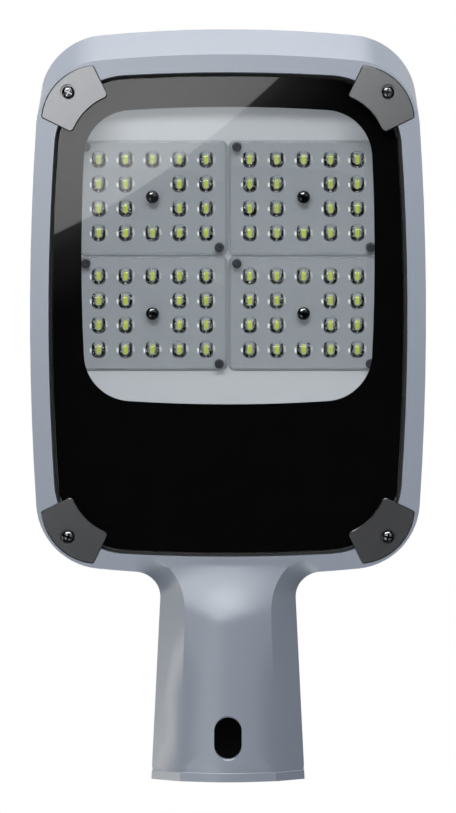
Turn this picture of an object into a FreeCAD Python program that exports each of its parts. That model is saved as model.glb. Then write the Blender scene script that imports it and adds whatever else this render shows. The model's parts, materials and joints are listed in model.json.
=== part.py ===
import FreeCAD, Part
import math
import os

os.makedirs("parts", exist_ok=True)

Vector = FreeCAD.Vector

# The head hangs from a lamp-post arm. Origin: centre of the socket mouth, on the socket's axis.
# +Y runs from the mouth to the nose, +Z points to the sky, and the glass looks down along -Z.
# Seen from above with the nose ahead, left is -X. All sizes are in millimetres.

# Arm socket and neck
socket_radius = 31.0
socket_depth = 96.0
neck_length = 127.7
neck_mouth_half_width = 47.8
neck_root_half_width = 42.3
neck_half_height = 37.2
neck_side_half_height = 16.0
neck_belly_radius = 52.0
neck_belly_margin = 0.3
neck_facet_slope_mouth = 0.8
neck_facet_slope_root = 0.98
neck_back_slope_mouth = 1.17
neck_back_slope_root = 1.39
neck_back_slope_body = 1.7
neck_flare_radius = 16.0
neck_flare_stations = 12
neck_tool_reach = 8.0
neck_facet_reach = 22.0
neck_back_reach = 32.0
neck_tail_length = 15.0
neck_tail_dive = 1.2
neck_tail_depth = 8.0
belly_rise_start = 28.2
belly_rise_smile = 6.0
belly_smile_reach = 27.0
belly_smile_limit = 1.6
belly_rise_end = 8.3
belly_rise_skew = 0.757
belly_end_lift = 0.1
belly_columns = 17
belly_step = 4.0
belly_overshoot = 1.1
facet_overshoot = 1.04
lip_width = 5.2
lip_groove_wall = 0.5
lip_groove_run = 4.0
lip_groove_depth = 0.35
lip_groove_margin = 0.05
slot_width = 17.0
slot_length = 25.9
slot_centre_from_mouth = 27.1
slot_bevel = 0.9

# Gland chamber behind the socket, and the wall that closes the gear bay
chamber_half_height = 15.0
chamber_half_width = 27.0
chamber_end_setback = 2.9
bulkhead_thickness = 6.0

# Body outline at the rim, seen from below
rim_drop = 28.0
body_length = 322.8
body_width = 245.6
body_side_bow = 1800.0
body_end_bow = 840.0
body_corner_radius = 42.1

# Nose and shoulder
nose_height = 18.0
nose_reach = 17.4
shoulder_draft = 0.8
shoulder_rise = 17.0
shoulder_inset_side = 18.0
shoulder_inset_nose = 27.0
shoulder_inset_rear = 10.0
shoulder_steps = 4

# Glass opening, ledge and cavity
rim_end_width = 11.1
rim_side_width = 11.4
opening_side_bow = 1550.0
opening_end_bow = 1150.0
opening_corner_radius = 46.0
ledge_width = 8.0
deck_thickness = 6.0

# Glass, printed border and gasket
glass_thickness = 4.0
glass_gap = 1.9
glass_recess = 2.8
glass_edge_bevel = 0.5
print_thickness = 0.2
print_margin = 0.6
window_front_margin = 21.1
window_rear_margin = 94.7
window_side_margin = 20.3
window_side_bow = 1270.0
window_end_bow = 950.0
window_corner_radius = 29.6
gasket_thickness = 2.8
gasket_edge_gap = 0.3
gasket_lip_width = 1.4
gasket_lip_depth = 1.0

# Corner clamps
clamp_centre_shift = 5.3
clamp_outer_radius = 35.0
clamp_inner_radius = 38.0
clamp_inner_apex = 10.3
clamp_half_width = 22.6
clamp_half_width_at = 26.7
clamp_taper = 0.338
clamp_body_thickness = 5.0
clamp_proud = 0.4
clamp_seam = 0.35
clamp_glass_gap = 0.1
clamp_side_gap = 0.6
clamp_outer_corner = 1.8
clamp_inner_corner = 2.6
clamp_edge_bevel = 0.35
clamp_screw_offset = 26.2
clamp_counterbore_radius = 5.0
clamp_counterbore_depth = 2.4
clamp_screw_length = 14.0

# Screws
m4_radius = 2.0
m4_head_radius = 4.0
m4_head_height = 2.9
m3_radius = 1.5
m3_head_radius = 2.8
m3_head_height = 2.0
screw_clearance = 0.05
through_clearance = 0.25
screw_tip = 0.8
screw_head_rim = 0.35
screw_dome_reach = 0.72
screw_dome_rise = 0.86
hole_floor_gap = 1.0
overrun = 1.0
same_place = 0.001

# Gear bay dome over the rear of the body
bay_front_setback = 21.9
bay_height = 39.0
bay_inset_side = 25.0
bay_inset_front = 18.0
bay_inset_rear = 17.0
bay_corner_radius = 36.0
bay_wall = 4.5
bay_steps = 4

# Cooling fins on the deck
fin_count = 13
fin_thickness = 3.0
fin_pitch = 15.4
fin_rear_height = 29.0
fin_nose_height = 4.0
fin_nose_setback = 7.0
fin_edge_round = 1.0
fin_side_fade = 0.35
fin_arch = 0.14

# Lamp modules: plate, circuit boards, lens plates
plate_thickness = 3.0
plate_edge_gap = 2.0
plate_rear_overlap = 7.5
plate_screw_inset = 4.5
plate_screw_turn = 72.0
plate_screw_step = 1.0
plate_screw_length = 7.0
module_gap_x = 2.4
module_gap_y = 1.8
module_overhang = 3.5
module_field_shift = 0.8
lens_plate_width = 71.2
lens_plate_thickness = 2.0
lens_plate_corner = 4.0
lens_plate_bevel = 0.5
board_margin = 1.2
board_thickness = 1.6
lens_columns = 5
lens_rows = 4
lens_side_margin = 12.5
lens_end_margin = 12.65
lens_length = 10.6
lens_half_width = 4.6
lens_end_radius = 2.5
lens_axis_drop = 1.4
lens_pocket_size = 4.2
lens_pocket_depth = 1.8
led_size = 3.0
led_thickness = 0.7
module_screw_length = 12.0
pin_side_inset = 4.3
pin_end_inset = 4.2
pin_radius = 1.5
pin_head_radius = 2.8
pin_head_height = 1.0
pin_head_round = 0.4
pin_grip = 2.0

# Gear tray and what it carries
tray_depth = 22.0
tray_thickness = 1.5
tray_side_gap = 16.0
tray_corner = 28.0
tray_rear_gap = 4.5
tray_front_gap = 9.0
tray_flange = 9.0
boss_radius = 5.5
boss_inset_x = 16.0
boss_inset_y = 14.5
tray_screw_length = 10.0
driver_width = 50.0
driver_height = 33.0
driver_tray_gap = 2.0
driver_terminal_gap = 7.0
driver_front_gap = 3.0
driver_ear = 8.0
driver_ear_thickness = 2.5
driver_ear_share = 0.8
driver_screw_share = 0.3
driver_edge_round = 2.5
terminal_poles = 3
terminal_pitch = 13.0
terminal_depth = 19.0
terminal_height = 17.0
terminal_end_wall = 2.5
terminal_wire_radius = 3.0
terminal_entry_share = 0.4
terminal_screw_radius = 2.2
terminal_screw_length = 8.0
terminal_screw_sunk = 2.5
terminal_well_gap = 0.3
terminal_crown_height = 4.0
terminal_crown_inset = 3.5
terminal_base_thickness = 4.0
surge_length = 46.0
surge_width = 16.5
surge_height = 27.0
surge_centre_x = 20.0
surge_tray_gap = 0.5
surge_corner = 2.5
surge_ear = 7.0
surge_ear_share = 0.6
earth_x = -44.0
earth_post_gap = 1.0
earth_washer_radius = 5.5
earth_washer_thickness = 1.0
small_screw_length = 6.0
long_small_screw_length = 7.0

# Cable gland and breather in the bulkhead
gland_x = -9.0
gland_thread_radius = 8.0
gland_flats = 22.0
gland_flange = 5.0
gland_collar_radius = 8.6
gland_collar_length = 9.0
gland_bore_radius = 5.6
gland_thread_proud = 0.5
gland_nut_length = 15.0
gland_nut_wall = 1.6
gland_nut_grip = 8.0
gland_nut_gap = 1.0
gland_seal_length = 8.0
gland_seal_head = 3.0
gland_seal_gap = 0.2
gland_seal_lead = 0.8
gland_seal_lip = 0.6
gland_cable_radius = 4.0
locknut_thickness = 4.0
locknut_flats = 21.0
locknut_room = 3.15
breather_x = 16.5
breather_thread_radius = 5.0
breather_flats = 14.0
breather_flange = 3.0
breather_cap_radius = 6.0
breather_cap_height = 4.0
breather_thread_proud = 2.0

# Set screws that lock the head on its arm, on the neck's upper face
set_screw_radius = 4.0
set_screw_length = 16.0
set_screw_places = (53.0, 83.0)
set_screw_retract = 1.0
set_screw_socket_flats = 4.0
set_screw_socket_depth = 4.0
set_screw_point = 1.0
jam_nut_flats = 13.0
jam_nut_thickness = 4.0

# Heights worked out from the sizes above
rim_z = -rim_drop
nose_z = rim_z + nose_height
deck_z = nose_z + shoulder_rise
floor_z = deck_z - deck_thickness
glass_z = rim_z + glass_recess
glass_inner_z = glass_z + glass_thickness
ledge_z = glass_inner_z + gasket_thickness
plate_z = floor_z - plate_thickness
board_z = plate_z - board_thickness
lens_z = board_z - lens_plate_thickness
bay_top_z = deck_z + bay_height
tray_z = floor_z + tray_depth
clamp_z = rim_z - clamp_proud

# Widths worked out from the sizes above
opening_half_width = body_width / 2 - rim_side_width
window_half_width = opening_half_width - window_side_margin
module_pitch_x = window_half_width + module_overhang
module_pitch_y = lens_plate_width + module_gap_y
lens_plate_length = module_pitch_x - module_gap_x
lens_pitch_x = (lens_plate_length - 2 * lens_side_margin) / (lens_columns - 1)
lens_pitch_y = (lens_plate_width - 2 * lens_end_margin) / (lens_rows - 1)
pin_offset_x = lens_plate_length / 2 - pin_side_inset
pin_offset_y = lens_plate_width / 2 - pin_end_inset

# Places along Y
rim_rear_y = neck_length
rim_nose_y = neck_length + body_length
body_mid_y = (rim_rear_y + rim_nose_y) / 2
opening_rear_y = rim_rear_y + rim_end_width
opening_nose_y = rim_nose_y - rim_end_width
cavity_rear_y = opening_rear_y + ledge_width
window_nose_y = opening_nose_y - window_front_margin
window_rear_y = opening_rear_y + window_rear_margin
plate_rear_y = window_rear_y - plate_rear_overlap
bay_front_y = plate_rear_y + bay_front_setback
chamber_end_y = opening_rear_y - chamber_end_setback
bulkhead_inner_y = chamber_end_y + bulkhead_thickness
module_field_y = (window_rear_y + window_nose_y) / 2 + module_field_shift
neck_root_y = rim_rear_y - neck_flare_radius


# A soft rectangle is one gently bowed outline: two side arcs, two end arcs and four corner arcs.
# It is held as half width, rear y, nose y, side radius, end radius and corner radius.
rim_outline = (body_width / 2, rim_rear_y, rim_nose_y, body_side_bow, body_end_bow, body_corner_radius)
opening_outline = (
    opening_half_width,
    opening_rear_y,
    opening_nose_y,
    opening_side_bow,
    opening_end_bow,
    opening_corner_radius,
)
window_outline = (
    window_half_width,
    window_rear_y,
    window_nose_y,
    window_side_bow,
    window_end_bow,
    window_corner_radius,
)
nose_outline = (
    body_width / 2 - shoulder_draft,
    rim_rear_y + shoulder_draft,
    rim_nose_y + nose_reach,
    body_side_bow,
    body_end_bow,
    body_corner_radius,
)
deck_outline = (
    nose_outline[0] - shoulder_inset_side,
    nose_outline[1] + shoulder_inset_rear,
    nose_outline[2] - shoulder_inset_nose,
    body_side_bow,
    body_end_bow,
    body_corner_radius - shoulder_inset_side / 2,
)
bay_outline = (
    deck_outline[0],
    deck_outline[1],
    bay_front_y,
    body_side_bow,
    body_end_bow,
    bay_corner_radius,
)

# Places across the gear bay
tray_half_length = bay_outline[0] - tray_side_gap
boss_x = tray_half_length - boss_inset_x
terminal_centre_x = tray_half_length - terminal_depth / 2
driver_low_x = -tray_half_length + driver_tray_gap + driver_ear
driver_high_x = terminal_centre_x - terminal_depth / 2 - driver_terminal_gap - driver_ear
driver_length = driver_high_x - driver_low_x
driver_centre_x = (driver_low_x + driver_high_x) / 2


def inset(outline, distance):
    """The same outline moved inwards by a distance, with every arc kept concentric."""
    half_width, rear, nose, side, end, corner = outline
    return (
        half_width - distance,
        rear + distance,
        nose - distance,
        side - distance,
        end - distance,
        corner - distance,
    )


def corner_centre(outline):
    """Centre of the nose-side corner arc at +X, which touches both the side arc and the end arc."""
    half_width, rear, nose, side, end, corner = outline
    middle = (rear + nose) / 2
    side_centre = Vector(half_width - side, 0, 0)
    end_centre = Vector(0, (nose - rear) / 2 - end, 0)
    reach_side = side - corner
    reach_end = end - corner
    apart = end_centre - side_centre
    along = (reach_side**2 - reach_end**2 + apart.Length**2) / (2 * apart.Length)
    across = math.sqrt(reach_side**2 - along**2)
    direction = Vector(apart.x, apart.y, 0).normalize()
    normal = Vector(direction.y, -direction.x, 0)
    centre = side_centre + direction * along + normal * across
    if centre.x < 0 or centre.y < 0:
        centre = side_centre + direction * along - normal * across
    return Vector(centre.x, centre.y + middle, 0)


def towards(start, target, distance):
    """The point at a distance from start in the direction of target."""
    direction = target - start
    direction.normalize()
    return start + direction * distance


def soft_wire(outline, z):
    """Closed wire of a soft rectangle at height z."""
    half_width, rear, nose, side, end, corner = outline
    middle = (rear + nose) / 2
    centre = corner_centre(outline)
    on_side = towards(Vector(half_width - side, middle, 0), centre, side)
    on_end = towards(Vector(0, nose - end, 0), centre, end)
    on_corner = towards(centre, centre + (on_side - centre) + (on_end - centre), corner)

    def place(point, flip_x, flip_y):
        x = -point.x if flip_x else point.x
        y = 2 * middle - point.y if flip_y else point.y
        return Vector(x, y, z)

    ends = [(False, True), (False, False), (True, False), (True, True)]
    side_right, nose_end, side_left, rear_end = (
        Vector(half_width, middle, z),
        Vector(0, nose, z),
        Vector(-half_width, middle, z),
        Vector(0, rear, z),
    )
    sides = [place(on_side, *flips) for flips in ends]
    tips = [place(on_end, *flips) for flips in ends]
    bends = [place(on_corner, *flips) for flips in ends]
    arcs = [
        (sides[0], side_right, sides[1]),
        (sides[1], bends[1], tips[1]),
        (tips[1], nose_end, tips[2]),
        (tips[2], bends[2], sides[2]),
        (sides[2], side_left, sides[3]),
        (sides[3], bends[3], tips[3]),
        (tips[3], rear_end, tips[0]),
        (tips[0], bends[0], sides[0]),
    ]
    return Part.Wire([Part.Arc(*three).toShape() for three in arcs])


def soft_prism(outline, low, high):
    """Upright slab with a soft rectangle's outline."""
    return Part.Face(soft_wire(outline, low)).extrude(Vector(0, 0, high - low))


def blend(first, last, share):
    """Values part of the way from one outline to another."""
    return tuple(a + (b - a) * share for a, b in zip(first, last))


def rolled_solid(first, last, low, high, steps):
    """Body that rises from one outline to a smaller one along a quarter of an ellipse."""
    wires = []
    for step in range(steps + 1):
        angle = math.radians(90 * step / steps)
        outline = blend(first, last, 1 - math.cos(angle))
        wires.append(soft_wire(outline, low + (high - low) * math.sin(angle)))
    return Part.makeLoft(wires, True, False)


def box(low_corner, high_corner):
    """Box between two corners."""
    size = high_corner - low_corner
    return Part.makeBox(size.x, size.y, size.z, low_corner)


def rounded_plate(centre_x, centre_y, length_x, length_y, low, high, corner):
    """Flat plate with four rounded upright corners."""
    low_corner = Vector(centre_x - length_x / 2, centre_y - length_y / 2, low)
    high_corner = Vector(centre_x + length_x / 2, centre_y + length_y / 2, high)
    plate = box(low_corner, high_corner)
    return plate.makeFillet(corner, upright_edges(plate))


def upright_edges(shape):
    """The straight edges of a shape that run along Z."""
    found = []
    for edge in shape.Edges:
        first = edge.Vertexes[0].Point
        last = edge.Vertexes[-1].Point
        upright = abs(last.z - first.z) > same_place
        if upright and math.hypot(last.x - first.x, last.y - first.y) < same_place:
            found.append(edge)
    return found


def uprights_on_circle(shape, centre, radius):
    """The upright edges of a shape that stand on a circle about a point."""
    found = []
    for edge in upright_edges(shape):
        offset = edge.Vertexes[0].Point - centre
        if abs(math.hypot(offset.x, offset.y) - radius) < same_place:
            found.append(edge)
    return found


def edges_at_height(shape, z):
    """The edges of a shape that lie flat at height z."""
    found = []
    for edge in shape.Edges:
        bounds = edge.BoundBox
        if max(abs(bounds.ZMin - z), abs(bounds.ZMax - z)) < same_place:
            found.append(edge)
    return found


def upright_cylinder(x, y, radius, low, high):
    """Cylinder along Z."""
    return Part.makeCylinder(radius, high - low, Vector(x, y, low), Vector(0, 0, 1))


def level_cylinder(x, z, radius, rear, front):
    """Cylinder along Y."""
    return Part.makeCylinder(radius, front - rear, Vector(x, rear, z), Vector(0, 1, 0))


def level_hexagon(x, z, flats, rear, front):
    """Hexagonal bar along Y, given across its flats."""
    radius = flats / math.sqrt(3)
    corners = []
    for corner in range(7):
        angle = math.radians(60 * corner)
        corners.append(Vector(x + radius * math.cos(angle), rear, z + radius * math.sin(angle)))
    return Part.Face(Part.makePolygon(corners)).extrude(Vector(0, front - rear, 0))


def upright_hexagon(x, y, flats, low, high):
    """Hexagonal bar along Z, given across its flats."""
    radius = flats / math.sqrt(3)
    corners = []
    for corner in range(7):
        angle = math.radians(60 * corner)
        corners.append(Vector(x + radius * math.cos(angle), y + radius * math.sin(angle), low))
    return Part.Face(Part.makePolygon(corners)).extrude(Vector(0, 0, high - low))


def hanging_screw(x, y, seat_z, shank_radius, head_radius, head_height, length):
    """Pan-head screw driven upwards from below, its head seated at seat_z."""
    rim = head_height * screw_head_rim
    dome_middle = Vector(head_radius * screw_dome_reach, 0, -head_height * screw_dome_rise)
    head_top = Vector(0, 0, -head_height)
    head_edge = Vector(head_radius, 0, -rim)
    tip_radius = shank_radius - screw_tip
    edges = [
        Part.Arc(head_top, dome_middle, head_edge).toShape(),
        Part.makePolygon(
            [
                head_edge,
                Vector(head_radius, 0, 0),
                Vector(shank_radius, 0, 0),
                Vector(shank_radius, 0, length - screw_tip),
                Vector(tip_radius, 0, length),
                Vector(0, 0, length),
                head_top,
            ]
        ),
    ]
    profile = Part.Face(Part.Wire([edges[0], *edges[1].Edges]))
    screw = profile.revolve(Vector(0, 0, 0), Vector(0, 0, 1), 360)
    screw.translate(Vector(x, y, seat_z))
    return screw


def m4_screw(x, y, seat_z, length):
    return hanging_screw(x, y, seat_z, m4_radius, m4_head_radius, m4_head_height, length)


def m3_screw(x, y, seat_z, length):
    return hanging_screw(x, y, seat_z, m3_radius, m3_head_radius, m3_head_height, length)


def tapped_hole(x, y, radius, seat_z, length):
    """Blind hole above a screw's seat, a little wider and deeper than its shank."""
    floor = seat_z + length + hole_floor_gap
    return upright_cylinder(x, y, radius + screw_clearance, seat_z - overrun, floor)


# Neck


def eased(share, overshoot):
    """Soft rise from 0 through 1 that is still climbing a little when it gets there."""
    turned = math.pi * min(max(share, 0), overshoot) / overshoot
    return (1 - math.cos(turned)) / (1 - math.cos(math.pi / overshoot))


def neck_side():
    """Start of the neck's right side line in plan, with its direction and its outward normal."""
    start = Vector(neck_mouth_half_width, 0, 0)
    direction = Vector(neck_root_half_width, neck_root_y, 0) - start
    direction.normalize()
    return start, direction, Vector(direction.y, -direction.x, 0)


def neck_fillet():
    """Centre of the fillet between the neck and the body's rear end, and where it touches each."""
    start, direction, outward = neck_side()
    end_centre = Vector(0, rim_rear_y + body_end_bow, 0)
    offset = start + outward * neck_flare_radius - end_centre
    along = offset.dot(direction)
    beyond = offset.dot(offset) - (body_end_bow + neck_flare_radius) ** 2
    centre = end_centre + offset + direction * (-along - math.sqrt(along**2 - beyond))
    on_neck = centre - outward * neck_flare_radius
    return centre, on_neck, towards(centre, end_centre, neck_flare_radius)


def mirrored(shape):
    """The same shape on the other side of the head."""
    return shape.mirror(Vector(0, 0, 0), Vector(1, 0, 0))


def neck_block():
    """Upright block with the neck's outline in plan: tapering sides and fillets that run into the body."""
    start = neck_side()[0]
    centre, on_neck, on_body = neck_fillet()
    on_bend = towards(centre, on_neck + on_body - centre, neck_flare_radius)
    end_y = bay_outline[1] + bay_inset_rear
    half = [
        Part.makeLine(start, on_neck),
        Part.Arc(on_neck, on_bend, on_body).toShape(),
        Part.makeLine(on_body, Vector(on_body.x, end_y, 0)),
    ]
    ends = [
        Part.makeLine(Vector(on_body.x, end_y, 0), Vector(-on_body.x, end_y, 0)),
        Part.makeLine(Vector(-start.x, 0, 0), start),
    ]
    edges = half + [mirrored(edge) for edge in half] + ends
    block = Part.Face(Part.Wire(Part.__sortEdges__(edges)))
    block.translate(Vector(0, 0, -neck_half_height - overrun))
    return block.extrude(Vector(0, 0, 2 * neck_half_height + overrun))


def neck_tail():
    """Thin wedge that lets the fillet's wall sink into the body's drafted skirt."""
    on_body = neck_fillet()[2]
    far_x = on_body.x + neck_tail_length
    rise = far_x**2 / (2 * body_end_bow) + neck_tail_dive
    corners = [
        on_body,
        Vector(far_x, rim_rear_y + rise, 0),
        Vector(far_x, rim_rear_y + neck_tail_depth, 0),
        Vector(on_body.x, rim_rear_y + neck_tail_depth, 0),
    ]
    tail = Part.Face(Part.makePolygon([*corners, on_body]))
    tail.translate(Vector(0, 0, rim_z + neck_belly_margin))
    return tail.extrude(Vector(0, 0, nose_height - neck_belly_margin))


def belly_z(x, y):
    """Height of the neck's underside: convex along the neck, rising into the flat rim."""
    drop = neck_half_height - rim_drop
    room = drop - neck_belly_margin
    neck_z = -neck_half_height + room * math.tanh(x**2 / (2 * neck_belly_radius) / room)
    smile = belly_rise_smile * min(abs(x) / belly_smile_reach, belly_smile_limit) ** 2
    rise_start = rim_rear_y - belly_rise_start + smile
    rise_end = rim_rear_y + belly_rise_end
    share = max(y - rise_start, 0) / (rise_end - rise_start)
    lift = belly_end_lift * max(y - rise_end, 0)
    return neck_z + (rim_z - neck_z) * eased(share**belly_rise_skew, belly_overshoot) + lift


def under_belly():
    """What is cut away under the neck's belly."""
    half_width = neck_fillet()[2].x + overrun
    end = bay_outline[1] + bay_inset_rear + overrun
    row_places = [belly_step * step for step in range(-1, math.ceil(end / belly_step) + 1)]
    columns = [half_width * (2 * column / (belly_columns - 1) - 1) for column in range(belly_columns)]
    surface = Part.BSplineSurface()
    surface.interpolate([[Vector(x, y, belly_z(x, y)) for x in columns] for y in row_places])
    return surface.toShape().extrude(Vector(0, 0, -neck_half_height))


def facet_ruling(foot, inward, foot_z, slope, reach):
    """Straight line across a facet, from outside the neck's side edge inwards to its reach."""
    first = foot - inward * neck_tool_reach
    last = foot + inward * reach
    first.z = foot_z - slope * neck_tool_reach
    last.z = foot_z + slope * reach
    return Part.Wire([Part.makeLine(first, last)])


def facet_faces(foot_z, slope_mouth, slope_root, body_z, slope_body, reach):
    """The facet along the neck's side and its twist round the fillet to the body."""
    start, direction, outward = neck_side()
    centre, on_neck, on_body = neck_fillet()
    inward = -outward
    straight = [
        facet_ruling(start - direction * neck_tool_reach, inward, foot_z, slope_mouth, reach),
        facet_ruling(on_neck, inward, foot_z, slope_root, reach),
    ]
    turn = inward.getAngle(on_body - centre)
    twisted = []
    for step in range(neck_flare_stations + 2):
        share = step / neck_flare_stations
        angle = turn * share
        spoke = inward * math.cos(angle) + direction * math.sin(angle)
        change = eased(share, facet_overshoot)
        z = foot_z + (body_z - foot_z) * change
        slope = slope_root + (slope_body - slope_root) * change
        twisted.append(facet_ruling(centre + spoke * neck_flare_radius, spoke, z, slope, reach))
    return [Part.makeLoft(straight, False, True), Part.makeLoft(twisted, False, False)]


def side_cuts(faces, away):
    """Solids on one side of the facets, for both sides of the neck."""
    cuts = [face.extrude(Vector(0, 0, away)) for shell in faces for face in shell.Faces]
    return cuts + [mirrored(cut) for cut in cuts]


def under_facets():
    """What is cut away under the neck's lower facets."""
    faces = facet_faces(
        -neck_side_half_height,
        -neck_facet_slope_mouth,
        -neck_facet_slope_root,
        rim_z,
        0,
        neck_facet_reach,
    )
    return side_cuts(faces, -2 * neck_half_height)


def over_facets():
    """What is cut away over the neck's upper facets."""
    faces = facet_faces(
        neck_side_half_height,
        neck_back_slope_mouth,
        neck_back_slope_root,
        nose_z,
        neck_back_slope_body,
        neck_back_reach,
    )
    return side_cuts(faces, 3 * neck_half_height)


def neck_outer():
    """Neck with a convex belly, an upper facet on each side, and fillets to the body."""
    neck = neck_block().cut(under_belly())
    for cut in over_facets():
        neck = neck.cut(cut)
    tail = neck_tail()
    return neck.multiFuse([tail, mirrored(tail)])


def lip_groove(neck):
    """Fine ramped groove round the neck, behind the end lip."""
    reach = neck_mouth_half_width + overrun
    ring = box(Vector(-reach, lip_width, -reach), Vector(reach, lip_width + lip_groove_run, reach))
    profile = [
        (0, lip_groove_margin),
        (lip_groove_wall, -lip_groove_depth),
        (lip_groove_run, lip_groove_margin),
    ]
    sections = []
    for along, offset in profile:
        section = neck.slice(Vector(0, 1, 0), lip_width + along)[0]
        section.scale(1 + offset / neck_half_height, Vector(0, lip_width + along, 0))
        sections.append(section)
    return ring.cut(Part.makeLoft(sections, True, True))


def obround(centre_x, centre_y, width, length, z):
    """Slot outline that is longer along Y, with round ends."""
    radius = width / 2
    straight = (length - width) / 2
    front = centre_y + straight
    rear = centre_y - straight
    right_front = Vector(centre_x + radius, front, z)
    left_front = Vector(centre_x - radius, front, z)
    left_rear = Vector(centre_x - radius, rear, z)
    right_rear = Vector(centre_x + radius, rear, z)
    edges = [
        Part.makeLine(right_rear, right_front),
        Part.Arc(right_front, Vector(centre_x, front + radius, z), left_front).toShape(),
        Part.makeLine(left_front, left_rear),
        Part.Arc(left_rear, Vector(centre_x, rear - radius, z), right_rear).toShape(),
    ]
    return Part.Wire(edges)


def neck_slot():
    """Through slot in the neck's lower wall, with a bevelled outer edge."""
    belly = -neck_half_height
    inner = obround(0, slot_centre_from_mouth, slot_width, slot_length, belly + slot_bevel)
    outer = obround(
        0,
        slot_centre_from_mouth,
        slot_width + 4 * slot_bevel,
        slot_length + 4 * slot_bevel,
        belly - slot_bevel,
    )
    bevel = Part.makeLoft([inner, outer], True, True)
    shaft = Part.Face(obround(0, slot_centre_from_mouth, slot_width, slot_length, belly - slot_bevel))
    return shaft.extrude(Vector(0, 0, neck_half_height)).fuse(bevel)


def gland_chamber():
    """Hollow behind the socket's end stop that holds the cable gland and the breather."""
    straight = chamber_half_width - chamber_half_height
    rear = socket_depth - overrun
    low_corner = Vector(-straight, rear, -chamber_half_height)
    middle = box(low_corner, Vector(straight, chamber_end_y, chamber_half_height))
    ends = [level_cylinder(side * straight, 0, chamber_half_height, rear, chamber_end_y) for side in (-1, 1)]
    return middle.multiFuse(ends).removeSplitter()


# Body


def body_outer():
    """Skirt with its sloping nose, then the rolled shoulder up to the flat deck."""
    skirt = Part.makeLoft([soft_wire(rim_outline, rim_z), soft_wire(nose_outline, nose_z)], True, True)
    shoulder = rolled_solid(nose_outline, deck_outline, nose_z, deck_z, shoulder_steps)
    return skirt.fuse(shoulder)


def bay_solid(wall, low):
    """Dome over the gear, or its inside when a wall is given."""
    base = inset(bay_outline, wall)
    top = (
        base[0] - bay_inset_side,
        base[1] + bay_inset_rear,
        base[2] - bay_inset_front,
        base[3],
        base[4],
        base[5] - bay_inset_front / 2,
    )
    return rolled_solid(base, top, low, bay_top_z - wall, bay_steps)


def fin_positions():
    """Distance of each fin from the middle."""
    return [(place - (fin_count - 1) / 2) * fin_pitch for place in range(fin_count)]


def deck_nose_at(x):
    """Where the deck's nose edge lies at a distance from the middle."""
    half_width, rear, nose, side, end, corner = deck_outline
    centre = corner_centre(deck_outline)
    if abs(x) > centre.x:
        return centre.y + math.sqrt(max(corner**2 - (abs(x) - centre.x) ** 2, 0))
    return nose - end + math.sqrt(end**2 - x**2)


def fin(x):
    """One upright fin, highest at the gear bay and falling towards the nose in a long curve."""
    rear = bay_front_y - bay_inset_front
    front = deck_nose_at(x) - fin_nose_setback
    middle = (rear + front) / 2
    fade = 1 - fin_side_fade * (abs(x) / deck_outline[0]) ** 2
    rear_top = deck_z + fin_rear_height * fade
    nose_top = deck_z + fin_nose_height
    arch = (rear_top + nose_top) / 2 + (rear_top - nose_top) * fin_arch
    left = x - fin_thickness / 2
    foot = deck_z - overrun
    curve = Part.Arc(Vector(left, rear, rear_top), Vector(left, middle, arch), Vector(left, front, nose_top))
    sides = Part.makePolygon(
        [
            Vector(left, front, nose_top),
            Vector(left, front, foot),
            Vector(left, rear, foot),
            Vector(left, rear, rear_top),
        ]
    )
    blade = Part.Face(Part.Wire([curve.toShape(), *sides.Edges])).extrude(Vector(fin_thickness, 0, 0))
    crest = []
    for edge in blade.Edges:
        bounds = edge.BoundBox
        if bounds.ZMin > foot + fin_edge_round and bounds.YLength > fin_thickness:
            crest.append(edge)
    return blade.makeFillet(fin_edge_round, crest)


def boss_places():
    """The four posts that carry the gear tray."""
    rear = bay_outline[1] + bay_wall + boss_inset_y
    front = bay_front_y - bay_wall - boss_inset_y
    return [(side * boss_x, y) for side in (-1, 1) for y in (rear, front)]


def earth_place():
    """The earthing post, clear of the tray's rear flange."""
    return (earth_x, tray_span()[0] + tray_thickness + boss_radius + earth_post_gap)


def bay_hollow():
    """Inside of the gear bay, with the tray's posts left standing."""
    hollow = bay_solid(bay_wall, floor_z - overrun)
    places = [*boss_places(), earth_place()]
    posts = [upright_cylinder(x, y, boss_radius, tray_z, bay_top_z) for x, y in places]
    return hollow.cut(Part.makeCompound(posts))


def clamp_corners():
    """Sign of each corner along X and Y, with the name of its clamp."""
    return [
        ("front_left", -1, 1),
        ("front_right", 1, 1),
        ("rear_left", -1, -1),
        ("rear_right", 1, -1),
    ]


def corner_point(sign_x, sign_y, along, across, z):
    """Point in a clamp's own directions: along the diagonal from the corner's centre, and across it."""
    centre = corner_centre(rim_outline)
    step = 1 / math.sqrt(2)
    from_centre = clamp_centre_shift + along
    x = centre.x + (from_centre + across) * step
    y = centre.y - body_mid_y + (from_centre - across) * step
    return Vector(sign_x * x, body_mid_y + sign_y * y, z)


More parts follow.
